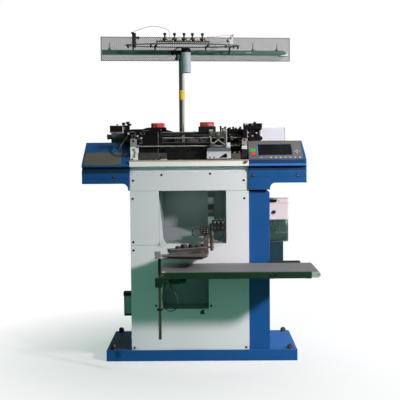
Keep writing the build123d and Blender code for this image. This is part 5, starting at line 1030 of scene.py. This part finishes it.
piece(
    "bridge_bosses", shape,
    finish("boss_brown", (118, 112, 102), 0.38, metallic=0.5, patches=0.14, rub_and_highlight=0.6, edge=0.001),
    "carriage")
shape = bmesh.new()
add_block(shape, (42, -248.2, 1271), (183, -246.8, 1273))
for x in (50, 172):
    add_screw(shape, (x, -247, 1264), 2.6, 1.4)
for x in (70, 140):
    add_screw(shape, (x, -246.2, 1283), 2.8, 1.4)
piece("cam_plate_fixings", shape, steel_grey, "carriage")
shape = bmesh.new()
add_block(shape, (164, -214, 1296), (179, -212.4, 1302))
add_screw(shape, (172, -212, 1313), 3.0, 1.8)
piece("sensor_trim", shape, finish("trim_pale", (196, 204, 208), 0.4, dust=0.03), "carriage", bevel=0.3)

# Feeders: yarn carriers, black steel blocks that slide on the flat rails.
# Each is fixed with a hand screw, and has a bright strip over its blade.
for name, body, x, y, z in (
        ("front_feeder_trim", "front_feeder", 190, -120, 1354),
        ("rear_feeder_trim", "rear_feeder", 226, 20, 1326)):
    shape = bmesh.new()
    add_turned(shape, (x, y - 20, z + 2), to_front, [(6, 0), (7.5, 1), (7.5, 4), (6, 5), (0, 5)])
    add_block(shape, (x - 9, y - 15.2, z - 11), (x + 9, y - 14, z - 8))
    piece(name, shape, steel_bright, body, bevel=0.3)

# Mast: a chrome plated steel tube, clamped in an iron socket behind the beds.
# A yellow band is stuck round it.
dress("mast", finish(
    "mast_chrome", (196, 194, 190), 0.1, metallic=1.0, patches=0.08, specks=0.0, rub_and_highlight=0.0, dust=0.0,
    grime_and_shade=0.3, bump=0.0,
    zones=[
        ((-165, 90, 1200), (-140, 175, 1277), (44, 46, 46), 0.4),
        ((-98, 90, 1200), (-70, 175, 1277), (58, 60, 60), 0.4),
        ((-140, 90, 1200), (-98, 175, 1225), (58, 60, 60), 0.4)]))
shape = bmesh.new()
add_turned(shape, (-119, 130, 1603), to_top, [(18.1, 0), (18.4, 0.2), (18.4, 60.6), (18.1, 60.8)], 40)
piece(
    "mast_band", shape,
    finish(
        "band_yellow", (232, 190, 40), 0.45, rub_and_highlight_colour=(240, 220, 150), patches=0.14, patch_scale=60.0,
        specks=0.12, rub_and_highlight=0.3, edge=0.002, dust=0.05,
        zones=[
            ((-140, 100, 1618), (-131, 160, 1622), (150, 60, 40), 0.0),
            ((-140, 100, 1640), (-131, 160, 1644), (150, 60, 40), 0.0)]))

# Creel: a green painted beam and an oval ring of steel, clamped on the mast and turned a little.
# They carry spindles, a thin bent arm, and a black plate with two ceramic eyelets.
creel_green = finish(
    "creel_green", (58, 100, 80), 0.42, rub_and_highlight_colour=(110, 138, 122), patches=0.16, patch_scale=14.0,
    specks=0.16, rub_and_highlight=0.6, grime_and_shade=0.4,
    zones=[((-650, -60, 1913.3), (600, 260, 1980), (48, 56, 52), 0.1)])
dress("creel_beam", creel_green)
dress("ring_frame", finish(
    "ring_green", (52, 86, 68), 0.4, rub_and_highlight_colour=(110, 138, 122), patches=0.16, specks=0.12, rub_and_highlight=0.4,
    edge=0.001, dust=0.15, zones=[((-650, -120, 1900), (600, 260, 1934.2), (22, 24, 23), 0.0)]))
mast_x = -119.0
mast_y = 130.0
creel_swing = math.radians(7.1)
creel_place = Matrix.Translation((mast_x, mast_y, 0)) @ Matrix.Rotation(creel_swing, 4, "Z")
creel_turn = creel_place.to_3x3()
creel_front = creel_turn @ Vector(to_front)
beam_face = -58.0


def on_creel(x, y, z):
    """A place on the creel, which is turned a little about the mast."""
    return creel_place @ Vector((x, y, z))


shape = bmesh.new()
add_plate(
    shape,
    [
        (-73, 1911), (-15, 1911), (-13, 1884), (-27, 1862), (-29, 1849), (-45, 1849), (-49, 1862),
        (-71, 1886)], beam_face - 5, beam_face - 3.9, creel_place)
for x in (-53, -25):
    add_turned(
        shape, on_creel(x, beam_face - 5, 1873), creel_front, [(0, 5.3), (4.4, 5.3), (4.4, 6.2)], 20)
for x, z in ((-66, 1905), (-22, 1905)):
    add_turned(shape, on_creel(x, beam_face - 5, z), creel_front, screw_profile(3.4, 2.4))
arm_points = [
    (-50, -66, 1868), (-60, -70, 1890), (-56, -76, 1908), (-40, -84, 1922), (-16, -89, 1926),
    (2, -90, 1922)]
for start, end in zip(arm_points, arm_points[1:]):
    add_rod(shape, creel_place @ Vector(start), creel_place @ Vector(end), 3.6, 12)
for point in arm_points:
    add_turned(
        shape, creel_place @ Vector(point) - Vector((0, 0, 3.6)), to_top,
        [(0, 0), (2.6, 1), (3.6, 3.6), (2.6, 6.2), (0, 7.2)], 12)
piece("eyelet_plate_face", shape, black_part)
shape = bmesh.new()
for x in (-53, -25):
    add_hoop(shape, on_creel(x, beam_face - 10, 1873), creel_turn @ Vector((0, 1, 0)), 7.0, 3.0, 28, 10)
piece(
    "ceramic_eyelets", shape,
    finish(
        "ceramic", (240, 238, 230), 0.2, patches=0.05, patch_scale=60.0, rub_and_highlight=0.0, dust=0.0, grime_and_shade=0.4,
        coat=0.3))
shape = bmesh.new()
add_plate(
    shape, [(632, 1879), (681, 1879), (681, 1898), (672, 1888), (640, 1884)], beam_face - 1.6, beam_face,
    creel_place)
add_block(shape, (632, beam_face, 1879), (681, beam_face + 36, 1881.4), creel_place)
for x in (415, 428, 438):
    add_turned(shape, on_creel(x, beam_face, 1898), creel_front, [(3.0, 0), (3.0, 1.2), (0, 1.6)], 12)
piece("beam_end_bracket", shape, white_part, bevel=0.3)
shape = bmesh.new()
for x in (-459, 457, 613):
    add_turned(
        shape, on_creel(x, -38, 1913), to_top,
        [(15, 0), (15, 1.4), (9, 3.5), (6.5, 8), (5, 11), (3.4, 13), (3.4, 17), (0, 17)])
for x in (-300, -90, 150, 330, 520):
    add_turned(shape, on_creel(x, beam_face, 1899), creel_front, screw_profile(3.6, 2.4))
piece(
    "spindle_cones", shape,
    finish("spindle_dark", (44, 50, 46), 0.4, metallic=0.3, patches=0.12, rub_and_highlight=0.6))

# Tension units: five yarn tensions on a rail before the ring, each of two steel discs, a spring and
# a black knob. An end block with hand knobs is screwed on at each end of the ring.
dress("tension_units", finish(
    "tension_steel", (112, 106, 98), 0.38, metallic=0.6, patches=0.24, patch_scale=50.0, specks=0.14,
    edge=0.0006, dust=0.05, grime_and_shade=0.7,
    zones=[
        ((-445, -20, 1935), (-390, 100, 2030), (40, 44, 42), 0.0),
        ((175, 20, 1935), (230, 130, 2010), (226, 226, 222), 0.0)]))
unit_rail = -204.0
ring_top = 1938.0
knob_shape = bmesh.new()
disc_shape = bmesh.new()
bit_shape = bmesh.new()
for index, x in enumerate((-122, -62, -3, 49, 111)):
    spot = on_creel(x, unit_rail, ring_top)
    for low in (24, 29):
        add_turned(
            disc_shape, spot + Vector((0, 0, low)), to_top,
            [(0, 1.2), (11, 1.2), (15.4, 0), (15.8, 0.6), (11, 2.4), (0, 2.4)], 24)
    for turn in range(6):
        add_hoop(disc_shape, spot + Vector((0, 0, 34 + 2.6 * turn)), to_top, 5.4, 0.7, 16, 6)
    add_turned(
        knob_shape, spot + Vector((0, 0, 49)), to_top,
        [
            (0, 0), (7, 0), (9.4, 1.5), (9.4, 4), (8.6, 5), (9.4, 6), (9.4, 11), (8, 14), (4, 15.5),
            (0, 15.5)], 20)
    side = 1 if index % 2 else -1
    add_block(knob_shape, spot + Vector((-16, -6, 12)), spot + Vector((16, 4, 23)))
    add_rod(bit_shape, spot + Vector((14 * side, -6, 18)), spot + Vector((26 * side, -6, 30)), 2.4)
    add_hoop(bit_shape, spot + Vector((28 * side, -6, 34)), (0, 1, 0), 4.4, 1.5, 16, 8)
    add_turned(
        bit_shape, spot + Vector((-8 * side, -7, 17)), to_front,
        [(4.0, 0), (4.0, 1.6), (2.4, 2.2), (0, 2.2)])
piece("tension_knobs", knob_shape, black_part, bevel=0.5)
piece(
    "tension_discs", disc_shape,
    finish(
        "disc_steel", (150, 142, 134), 0.26, metallic=0.9, patches=0.16, patch_scale=60.0, rub_and_highlight=0.0,
        dust=0.0, grime_and_shade=0.5))
piece("tension_guides", bit_shape, white_part)
shape = bmesh.new()
for x in (-92, 24, 82):
    add_block(
        shape, on_creel(x, unit_rail - 6, ring_top + 8), on_creel(x + 9, unit_rail - 4, ring_top + 17))
piece(
    "tension_levers", shape,
    finish("lever_rust", (140, 62, 50), 0.4, patches=0.16, patch_scale=60.0, dust=0.05), bevel=0.6)
shape = bmesh.new()
add_turned(shape, on_creel(-311, -107, 2004), to_front, [(9, 0), (9, 4), (6, 6), (0, 6)])
add_block(shape, on_creel(-325, -104, 2010), on_creel(-306, -88, 2019))
add_turned(shape, on_creel(-284, -95, 1984), (1, 0, 0), [(7, 0), (9, 2), (9, 7), (6, 9), (0, 9)])
add_turned(shape, on_creel(303, -107.2, 1984), to_front, [(5.6, 0), (5.6, 0.8), (0, 0.8)])
add_turned(shape, on_creel(288, -95, 1970), (-1, 0, 0), [(7, 0), (9, 2), (9, 7), (6, 9), (0, 9)])
piece("end_block_knobs", shape, black_part)
shape = bmesh.new()
add_block(shape, on_creel(306, -104, 1997), on_creel(322, -88, 2003))
add_hoop(shape, on_creel(320, -96, 2006), (0, 1, 0), 4.0, 1.2, 16, 8)
piece("end_block_guide", shape, steel_grey, bevel=0.5)
dress("guide_wires", finish("wire_steel", (150, 150, 148), 0.3, metallic=0.9, edge=0.0003, dust=0.0))

# Oil bottle: a bottle of frosted plastic with a ribbed black cap.
# It hangs on the front of the beam.
dress("oil_bottle", finish(
    "bottle_frosted", (176, 190, 196), 0.38, rub_and_highlight_colour=(210, 220, 224), patches=0.12, patch_scale=9.0,
    specks=0.06, rub_and_highlight=0.1, dust=0.05, grime_and_shade=0.2,
    zones=[((-400, -200, 1894.6), (200, 200, 1930), (22, 22, 23), 0.0)],
    spots=[((-92, 40, 1800), (30, 60, 60), (132, 150, 160), 0.6)]))
bottle = on_creel(19.5, -89.5, 0)
shape = bmesh.new()
for step in range(40):
    angle = 2 * math.pi * step / 40
    spot = bottle + Vector((27.2 * math.cos(angle), 27.2 * math.sin(angle), 0))
    add_rod(shape, spot + Vector((0, 0, 1896)), spot + Vector((0, 0, 1918)), 1.3, 6)
piece("bottle_cap_ribs", shape, black_part)

# Yarn screen: a thin steel sheet, punched all over with small holes inside a plain border.
# It is hung behind the beam on two straps.
screen_left = -515.0
screen_right = 714.0
screen_bottom = 1851.5
screen_top = 2005.0
screen_front = 22.0
screen_back = 24.0
side_border = 6
edge_border = 4
hole_columns = 102
hole_rows = 12
hole_sides = 8
pitch_x = (screen_right - screen_left - 2 * side_border) / hole_columns
pitch_z = (screen_top - screen_bottom - 2 * edge_border) / hole_rows
hole_radius = 0.26 * pitch_x
hole_half_width = 0.74 * hole_radius
hole_half_height = 1.3 * hole_radius


def add_cell(shape, x, z):
    """One cell of the sheet: a square ring round a hole, front, back and the hole's wall."""
    rims = []
    for y in (screen_front, screen_back):
        outer = []
        inner = []
        for step in range(hole_sides):
            angle = 2 * math.pi * (step + 0.5) / hole_sides
            across = math.cos(angle)
            up = math.sin(angle)
            reach = 1 / max(abs(across), abs(up))
            outer.append((x + 0.5 * pitch_x * reach * across, z + 0.5 * pitch_z * reach * up))
            inner.append((x + hole_half_width * across, z + hole_half_height * up))
        rims.append([[shape.verts.new(on_creel(px, y, pz)) for px, pz in ring] for ring in (outer, inner)])
    for step in range(hole_sides):
        after = (step + 1) % hole_sides
        for outer, inner in rims:
            shape.faces.new((outer[step], outer[after], inner[after], inner[step]))
        shape.faces.new((rims[0][1][step], rims[0][1][after], rims[1][1][after], rims[1][1][step]))


shape = bmesh.new()
holes_left = screen_left + side_border
holes_right = screen_right - side_border
holes_bottom = screen_bottom + edge_border
holes_top = screen_top - edge_border
for column in range(hole_columns):
    for row in range(hole_rows):
        add_cell(shape, holes_left + pitch_x * (column + 0.5), holes_bottom + pitch_z * (row + 0.5))
for left, right, bottom, high in (
        (screen_left, holes_left, screen_bottom, screen_top),
        (holes_right, screen_right, screen_bottom, screen_top),
        (holes_left, holes_right, screen_bottom, holes_bottom),
        (holes_left, holes_right, holes_top, screen_top)):
    add_block(shape, (left, screen_front, bottom), (right, screen_back, high), creel_place)
punched = piece(
    "punched_screen", shape,
    finish(
        "punched_steel", (108, 102, 94), 0.5, metallic=0.1, patches=0.12, patch_scale=8.0, specks=0.1,
        rub_and_highlight=0.2, edge=0.0004, dust=0.05, grime_and_shade=0.2,
        # Painted light: the sheet is painted lighter and cooler towards the right.
        spots=[((560, 200, 1928), (560, 300, 300), (112, 117, 121), 0.9)]))
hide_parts("yarn_screen")

# Side oiler: a white cover over a clear plastic reservoir, with green oil and a small pump in it.
# They hang on a dark teal bracket that is screwed to the column.
dress("oiler_bracket", finish(
    "bracket_teal", (9, 50, 58), 0.45, rub_and_highlight_colour=(80, 110, 140), patches=0.14, specks=0.18,
    speck_scale=400.0, dust=0.05))
dress("oiler_cover", finish(
    "cover_white", (218, 208, 204), 0.42, rub_and_highlight_colour=(196, 188, 184), patches=0.07, edge=0.003, dust=0.08,
    grime_and_shade=0.6, zones=[((400, -60, 878), (470, -46.2, 898), (28, 28, 28), 0.0)]))
shape = bmesh.new()
add_block(shape, (418, -46.5, 942), (552, -45.9, 943.2))
add_plate(shape, [(430, 966), (480, 966), (470, 947), (430, 947)], -46.7, -46)
add_turned(shape, (488, -46, 956), to_front, [(3.4, 0), (3.4, 1.2), (1.6, 1.8), (0, 1.8)])
piece("oiler_inlay", shape, black_part)
clear = finish(
    "reservoir_clear", (206, 232, 222), 0.04, patch_scale=30.0, speck_scale=90.0, rub_and_highlight=0.0, edge=0.002,
    dust=0.0, grime_and_shade=0.1, bump=0.0)
clear_shader = clear.node_tree.nodes["Principled BSDF"]
clear_shader.inputs["Transmission Weight"].default_value = 0.96
clear_shader.inputs["IOR"].default_value = 1.15
dress("oiler_reservoir", clear)
shape = bmesh.new()
add_block(shape, (424, -38, 706), (540, 38, 752))
piece(
    "reservoir_oil", shape,
    finish("oil_green", (44, 92, 78), 0.2, patches=0.3, patch_scale=20.0, dust=0.0), bevel=4.0)
shape = bmesh.new()
add_block(shape, (424, 34, 756), (540, 38, 832))
piece(
    "reservoir_back", shape,
    finish("baffle_green", (96, 122, 116), 0.4, patches=0.3, patch_scale=20.0, dust=0.0), bevel=1.0)
shape = bmesh.new()
add_block(shape, (440, -20, 752), (472, 10, 800))
add_rod(shape, (456, -8, 800), (456, -8, 836), 5.0)
add_rod(shape, (492, -10, 712), (492, -10, 836), 4.0)
add_turned(shape, (476, -14, 770), to_top, [(0, 0), (12, 0), (12, 10), (8, 14), (0, 14)])
piece(
    "reservoir_pump", shape,
    finish("pump_green", (26, 62, 50), 0.3, patches=0.2, patch_scale=30.0, dust=0.0), bevel=1.0)

# Junction box: a grey-green cable box of sheet steel with a dark lid and foot.
# It is screwed on the cabinet's left side.
dress("junction_box", finish(
    "box_green", (154, 184, 166), 0.45,
    zones=[
        ((-510, 0, 349.6), (-420, 100, 380), (26, 30, 28), 0.0),
        ((-510, 0, 215), (-420, 100, 236), (30, 36, 32), 0.0),
        # Painted shade: a dark strip down the box's left edge.
        ((-510, 0, 236), (-491, 100, 349.6), (34, 44, 38), 0.0)]))

# Take-off: an air-driven arm that lays each glove on the tray, built up of screwed parts.
# An alloy column carries black valves, a grip with rubber pads, and a clamp of folded steel.
dress("guide_column", finish(
    "column_alloy", (150, 152, 150), 0.4, metallic=0.2, patches=0.14, patch_scale=24.0, specks=0.1,
    dust=0.05,
    zones=[
        ((40, -90, 806), (84, -40, 866), (232, 232, 232), 0.0),
        ((40, -90, 866), (84, -40, 882), (92, 74, 60), 0.0),
        ((40, -90, 882), (84, -40, 906), (128, 116, 104), 0.2),
        ((40, -90, 906), (84, -40, 942), (34, 44, 52), 0.0),
        ((40, -90, 984), (84, -40, 1034), (44, 48, 48), 0.1)]))
shape = bmesh.new()
for z in (812, 872, 900, 946, 980):
    add_screw(shape, (50, -80, z), 3.0, 2.2)
    add_screw(shape, (74, -80, z), 3.0, 2.2)
piece("guide_column_screws", shape, steel_grey)
dress("valve_block", finish(
    "valve_black", (28, 29, 29), 0.4, patches=0.2, patch_scale=24.0, specks=0.18, rub_and_highlight=0.6, dust=0.05,
    zones=[((50, -360, 660), (80, -330, 798), (104, 88, 70), 0.5)]))
shape = bmesh.new()
for x in (82, 105, 128):
    add_turned(shape, (x, -356, 850), to_front, [(6, 0), (6, 3), (5, 4), (2.6, 4), (2.6, 1), (0, 1)])
    add_screw(shape, (x, -350, 818), 3.4, 2.6)
for x in (76, 96, 118, 138):
    add_rod(shape, (x, -340, 863), (x, -340, 870), 4.0)
add_turned(shape, (137, -335, 797.2), (0, 0, -1), [(5.6, -6), (5.6, 0), (4.6, 1.6), (2.7, 1.6)])
add_turned(shape, (-2, -352, 812), (-1, 0, 0), [(5.0, -2), (5.0, 2), (4.2, 3.2), (2.7, 3.2)])
add_turned(shape, (16, -345, 774), (-1, 0, 0), [(5.0, -2), (5.0, 2), (4.2, 3.2), (2.7, 3.2)])
piece("air_fittings", shape, steel_bright)
shape = bmesh.new()
for z in (700, 718, 776, 790):
    add_hoop(shape, (64, -345, z), to_top, 11.0, 2.0, 24, 8)
for z in range(6):
    add_hoop(shape, (64, -345, 730 + 6 * z), to_top, 10.4, 1.2, 20, 6)
piece(
    "pivot_rings", shape,
    finish("pivot_brown", (124, 98, 74), 0.35, metallic=0.6, patches=0.16, patch_scale=60.0, dust=0.03))
clamp_steel = finish(
    "clamp_steel", (112, 104, 98), 0.4, metallic=0.4, rub_and_highlight_colour=(180, 174, 166), patches=0.16,
    patch_scale=18.0, specks=0.14, rub_and_highlight=0.8, edge=0.001, dust=0.08, grime_and_shade=0.6)
dress("grip_bracket", finish(
    "grip_steel", (110, 100, 90), 0.4, metallic=0.45, rub_and_highlight_colour=(190, 184, 174), patches=0.2,
    patch_scale=30.0, specks=0.16, rub_and_highlight=0.8, edge=0.001, dust=0.05, grime_and_shade=0.6,
    zones=[((-6, -370, 781.8), (48, -339, 830), (30, 30, 30), 0.0)]))
shape = bmesh.new()
for x in (6, 22, 38):
    for z in (794, 806, 820):
        add_turned(shape, (x, -365, z - 2), to_front, [(2.8, 0), (2.8, 1.6), (1.6, 2.4), (0, 2.4)], 12)
for z in (700, 726, 758):
    add_screw(shape, (30, -350, z), 4.0, 3.0)
piece("grip_rivets", shape, steel_bright)
dress("lower_tray", clamp_steel)
dress("upper_clamp", finish(
    "clamp_black", (32, 31, 30), 0.45, metallic=0.1, rub_and_highlight_colour=(120, 116, 110), patches=0.15, rub_and_highlight=0.6,
    grime_and_shade=0.4,
    zones=[((-300, -600, 704.9), (100, -300, 708.1), (126, 118, 110), 0.4)]))

# Discharge conveyor: green painted steel frames and a grey belt on two steel rollers.
# A small motor hangs under it, and a clamped alloy post stands at its left end.
dress("conveyor_frame", finish(
    "frame_green", (14, 54, 27), 0.4, rub_and_highlight_colour=(60, 104, 72), patches=0.12, specks=0.16, rub_and_highlight=0.7,
    edge=0.0014, dust=0.06, grime_and_shade=0.5,
    zones=[
        ((350, -312, 596.2), (600, -292, 620), (40, 44, 42), 0.0),
        ((-270, -712, 470), (-190, -640, 570), (14, 46, 28), 0.0)]))
dress("roller_plates", finish(
    "plate_alloy", (164, 180, 172), 0.4, metallic=0.15, patches=0.08, dust=0.05,
    zones=[((-280, -720, 540), (-150, -640, 630), (58, 72, 64), 0.2)]))
dress("conveyor_belt", finish(
    "belt_grey", (121, 122, 123), 0.6, patches=0.12, patch_scale=8.0, specks=0.22, speck_scale=320.0,
    rub_and_highlight=0.3, grime_and_shade=0.3, bump=0.3,
    spots=[
        ((-120, -488, 600), (160, 200, 8), (92, 84, 80), 0.6),
        ((250, -420, 600), (260, 160, 8), (112, 106, 104), 0.5)]))
for node in ("drive_roller", "idler_roller"):
    dress(node, finish(node + "_steel", (170, 176, 172), 0.3, metallic=0.8, patch_scale=30.0, dust=0.0))
dress("conveyor_motor", finish(
    "motor_dark", (30, 56, 42), 0.45, patches=0.14, patch_scale=20.0, dust=0.05))
dress("conveyor_post", finish(
    "post_alloy", (112, 106, 88), 0.38, metallic=0.45, patch_scale=20.0, specks=0.1, dust=0.03, grime_and_shade=0.7,
    zones=[
        ((-260, -705, 592), (-200, -660, 680), (26, 27, 27), 0.0),
        ((-260, -705, 386), (-200, -660, 400), (30, 30, 29), 0.0),
        ((-260, -705, 220), (-200, -660, 232), (24, 24, 24), 0.0),
        ((-262, -705, 680), (-200, -500, 720), (158, 155, 152), 0.2)]))
shape = bmesh.new()
add_turned(
    shape, (-211.5, -674.5, 589), to_front,
    [(15.5, 0), (15.5, 3.5), (13.5, 5), (9, 5), (8, 3.2), (4.5, 3.2), (4, 5), (0, 5)], 32)
add_screw(shape, (-238, -690, 712), 4.0, 3.0)
piece("roller_bearing", shape, white_part)
shape = bmesh.new()
for x in (-168, 30, 250, 430, 560):
    add_screw(shape, (x, -674, 579), 4.2, 3.0)
for x, z in ((-244, 556), (-244, 530), (-196, 552)):
    add_screw(shape, (x, -694.5, z), 4.0, 3.0)
piece("conveyor_screws", shape, black_part)
shape = bmesh.new()
add_turned(shape, (396, -678, 583), to_front, [(8.5, 0), (8.5, 3), (6, 4.5), (0, 4.5)])
add_block(shape, (392, -684, 578), (424, -679.5, 587))
piece("conveyor_latch", shape, black_part, bevel=0.8)
# Painted highlights: two lighter green strips along the front frame's top and bottom edges.
shape = bmesh.new()
add_blocks(shape, ((-196, -674.6, 571), (616, -673.6, 573)), ((-196, -674.6, 592), (616, -673.6, 594)))
piece("frame_channel_highlights", shape, finish("edge_highlight_green", (24, 84, 42), 0.4, rub_and_highlight=0.6, dust=0.05))

# Cables and air hoses: black sheathed leads and hoses, fixed at both ends in sleeves and fittings.
# They hang under their own weight.
def lay_cord(name, route, radius, material, node):
    """A smooth cord through the control points of its route, in millimetres."""
    curve = bpy.data.curves.new(name, "CURVE")
    curve.dimensions = "3D"
    curve.bevel_depth = radius * MM
    curve.bevel_resolution = 4
    curve.resolution_u = 10
    curve.use_fill_caps = True
    spline = curve.splines.new("NURBS")
    spline.points.add(len(route) - 1)
    for point, place in zip(spline.points, route):
        point.co = (*(value * MM for value in place), 1.0)
    spline.order_u = 3
    spline.use_endpoint_u = True
    made = bpy.data.objects.new(name, curve)
    bpy.context.scene.collection.objects.link(made)
    curve.materials.append(material)
    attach(made, "machine")
    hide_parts(node)


lead_sheath = finish("lead_sheath", (20, 21, 22), 0.4, specks=0.05, rub_and_highlight=0.0, edge=0.0004, grime_and_shade=0.1)
motor_cable_route = [
    (-174, -606, 530), (-174, -606, 512), (-164, -612, 492), (-146, -618, 470), (-132, -622, 440),
    (-129, -630, 410), (-141, -632, 386), (-163, -634, 373), (-188, -636, 376), (-205, -640, 394),
    (-214, -646, 420), (-217, -654, 448), (-215, -664, 478), (-209, -676, 504), (-202, -686, 522),
    (-202, -686, 540)]
lay_cord("motor_lead", motor_cable_route, 3.0, lead_sheath, "motor_cable")
loop_hose_route = [
    (-2, -352, 812), (-15, -352, 812), (-29, -354, 819), (-43, -358, 814), (-52, -362, 802),
    (-53, -362, 788), (-46, -358, 776), (-32, -353, 770), (-16, -348, 770), (1, -345, 774),
    (16, -345, 774)]
lay_cord("looped_air_hose", loop_hose_route, 2.5, lead_sheath, "loop_hose")
drop_hose_route = [
    (137, -335, 797), (137, -335, 777), (133, -327, 762), (126, -312, 753), (118, -294, 750),
    (112, -280, 746), (109, -271, 735), (109, -271, 722)]
lay_cord("dropping_air_hose", drop_hose_route, 2.5, lead_sheath, "drop_hose")
head_lead_route = [
    (-440, -160, 1372), (-440, -182, 1372), (-446, -206, 1364), (-458, -228, 1348), (-470, -246, 1324),
    (-479, -259, 1296), (-476, -262, 1272), (-466, -254, 1256), (-454, -240, 1251), (-440, -232, 1251),
    (-423.5, -232, 1251)]
lay_cord("outer_head_lead", head_lead_route, 3.0, lead_sheath, "head_cable_1")
inner_lead_route = [
    (-455, -160, 1350), (-455, -178, 1350), (-461, -200, 1343), (-473, -218, 1328), (-486, -232, 1308),
    (-491, -240, 1284), (-484, -243, 1264), (-468, -238, 1256), (-452, -228, 1258), (-438, -222, 1261),
    (-423.5, -222, 1261)]
lay_cord("inner_head_lead", inner_lead_route, 3.0, lead_sheath, "head_cable_2")
shape = bmesh.new()
for place, axis, long in (
        ((-174, -606, 529), (0, 0, -1), 16), ((-440, -161, 1372), to_front, 14),
        ((-455, -161, 1350), to_front, 14), ((-422, -232, 1251), (-1, 0, 0), 14),
        ((-422, -222, 1261), (-1, 0, 0), 14), ((-202, -686, 541), (0, 0, -1), 12)):
    add_turned(
        shape, place, axis, [(6.4, 0), (6.4, 2.5), (5.2, 3), (5.2, 0.5 * long), (3.4, long), (3.0, long)])
piece("lead_sleeves", shape, lead_sheath)
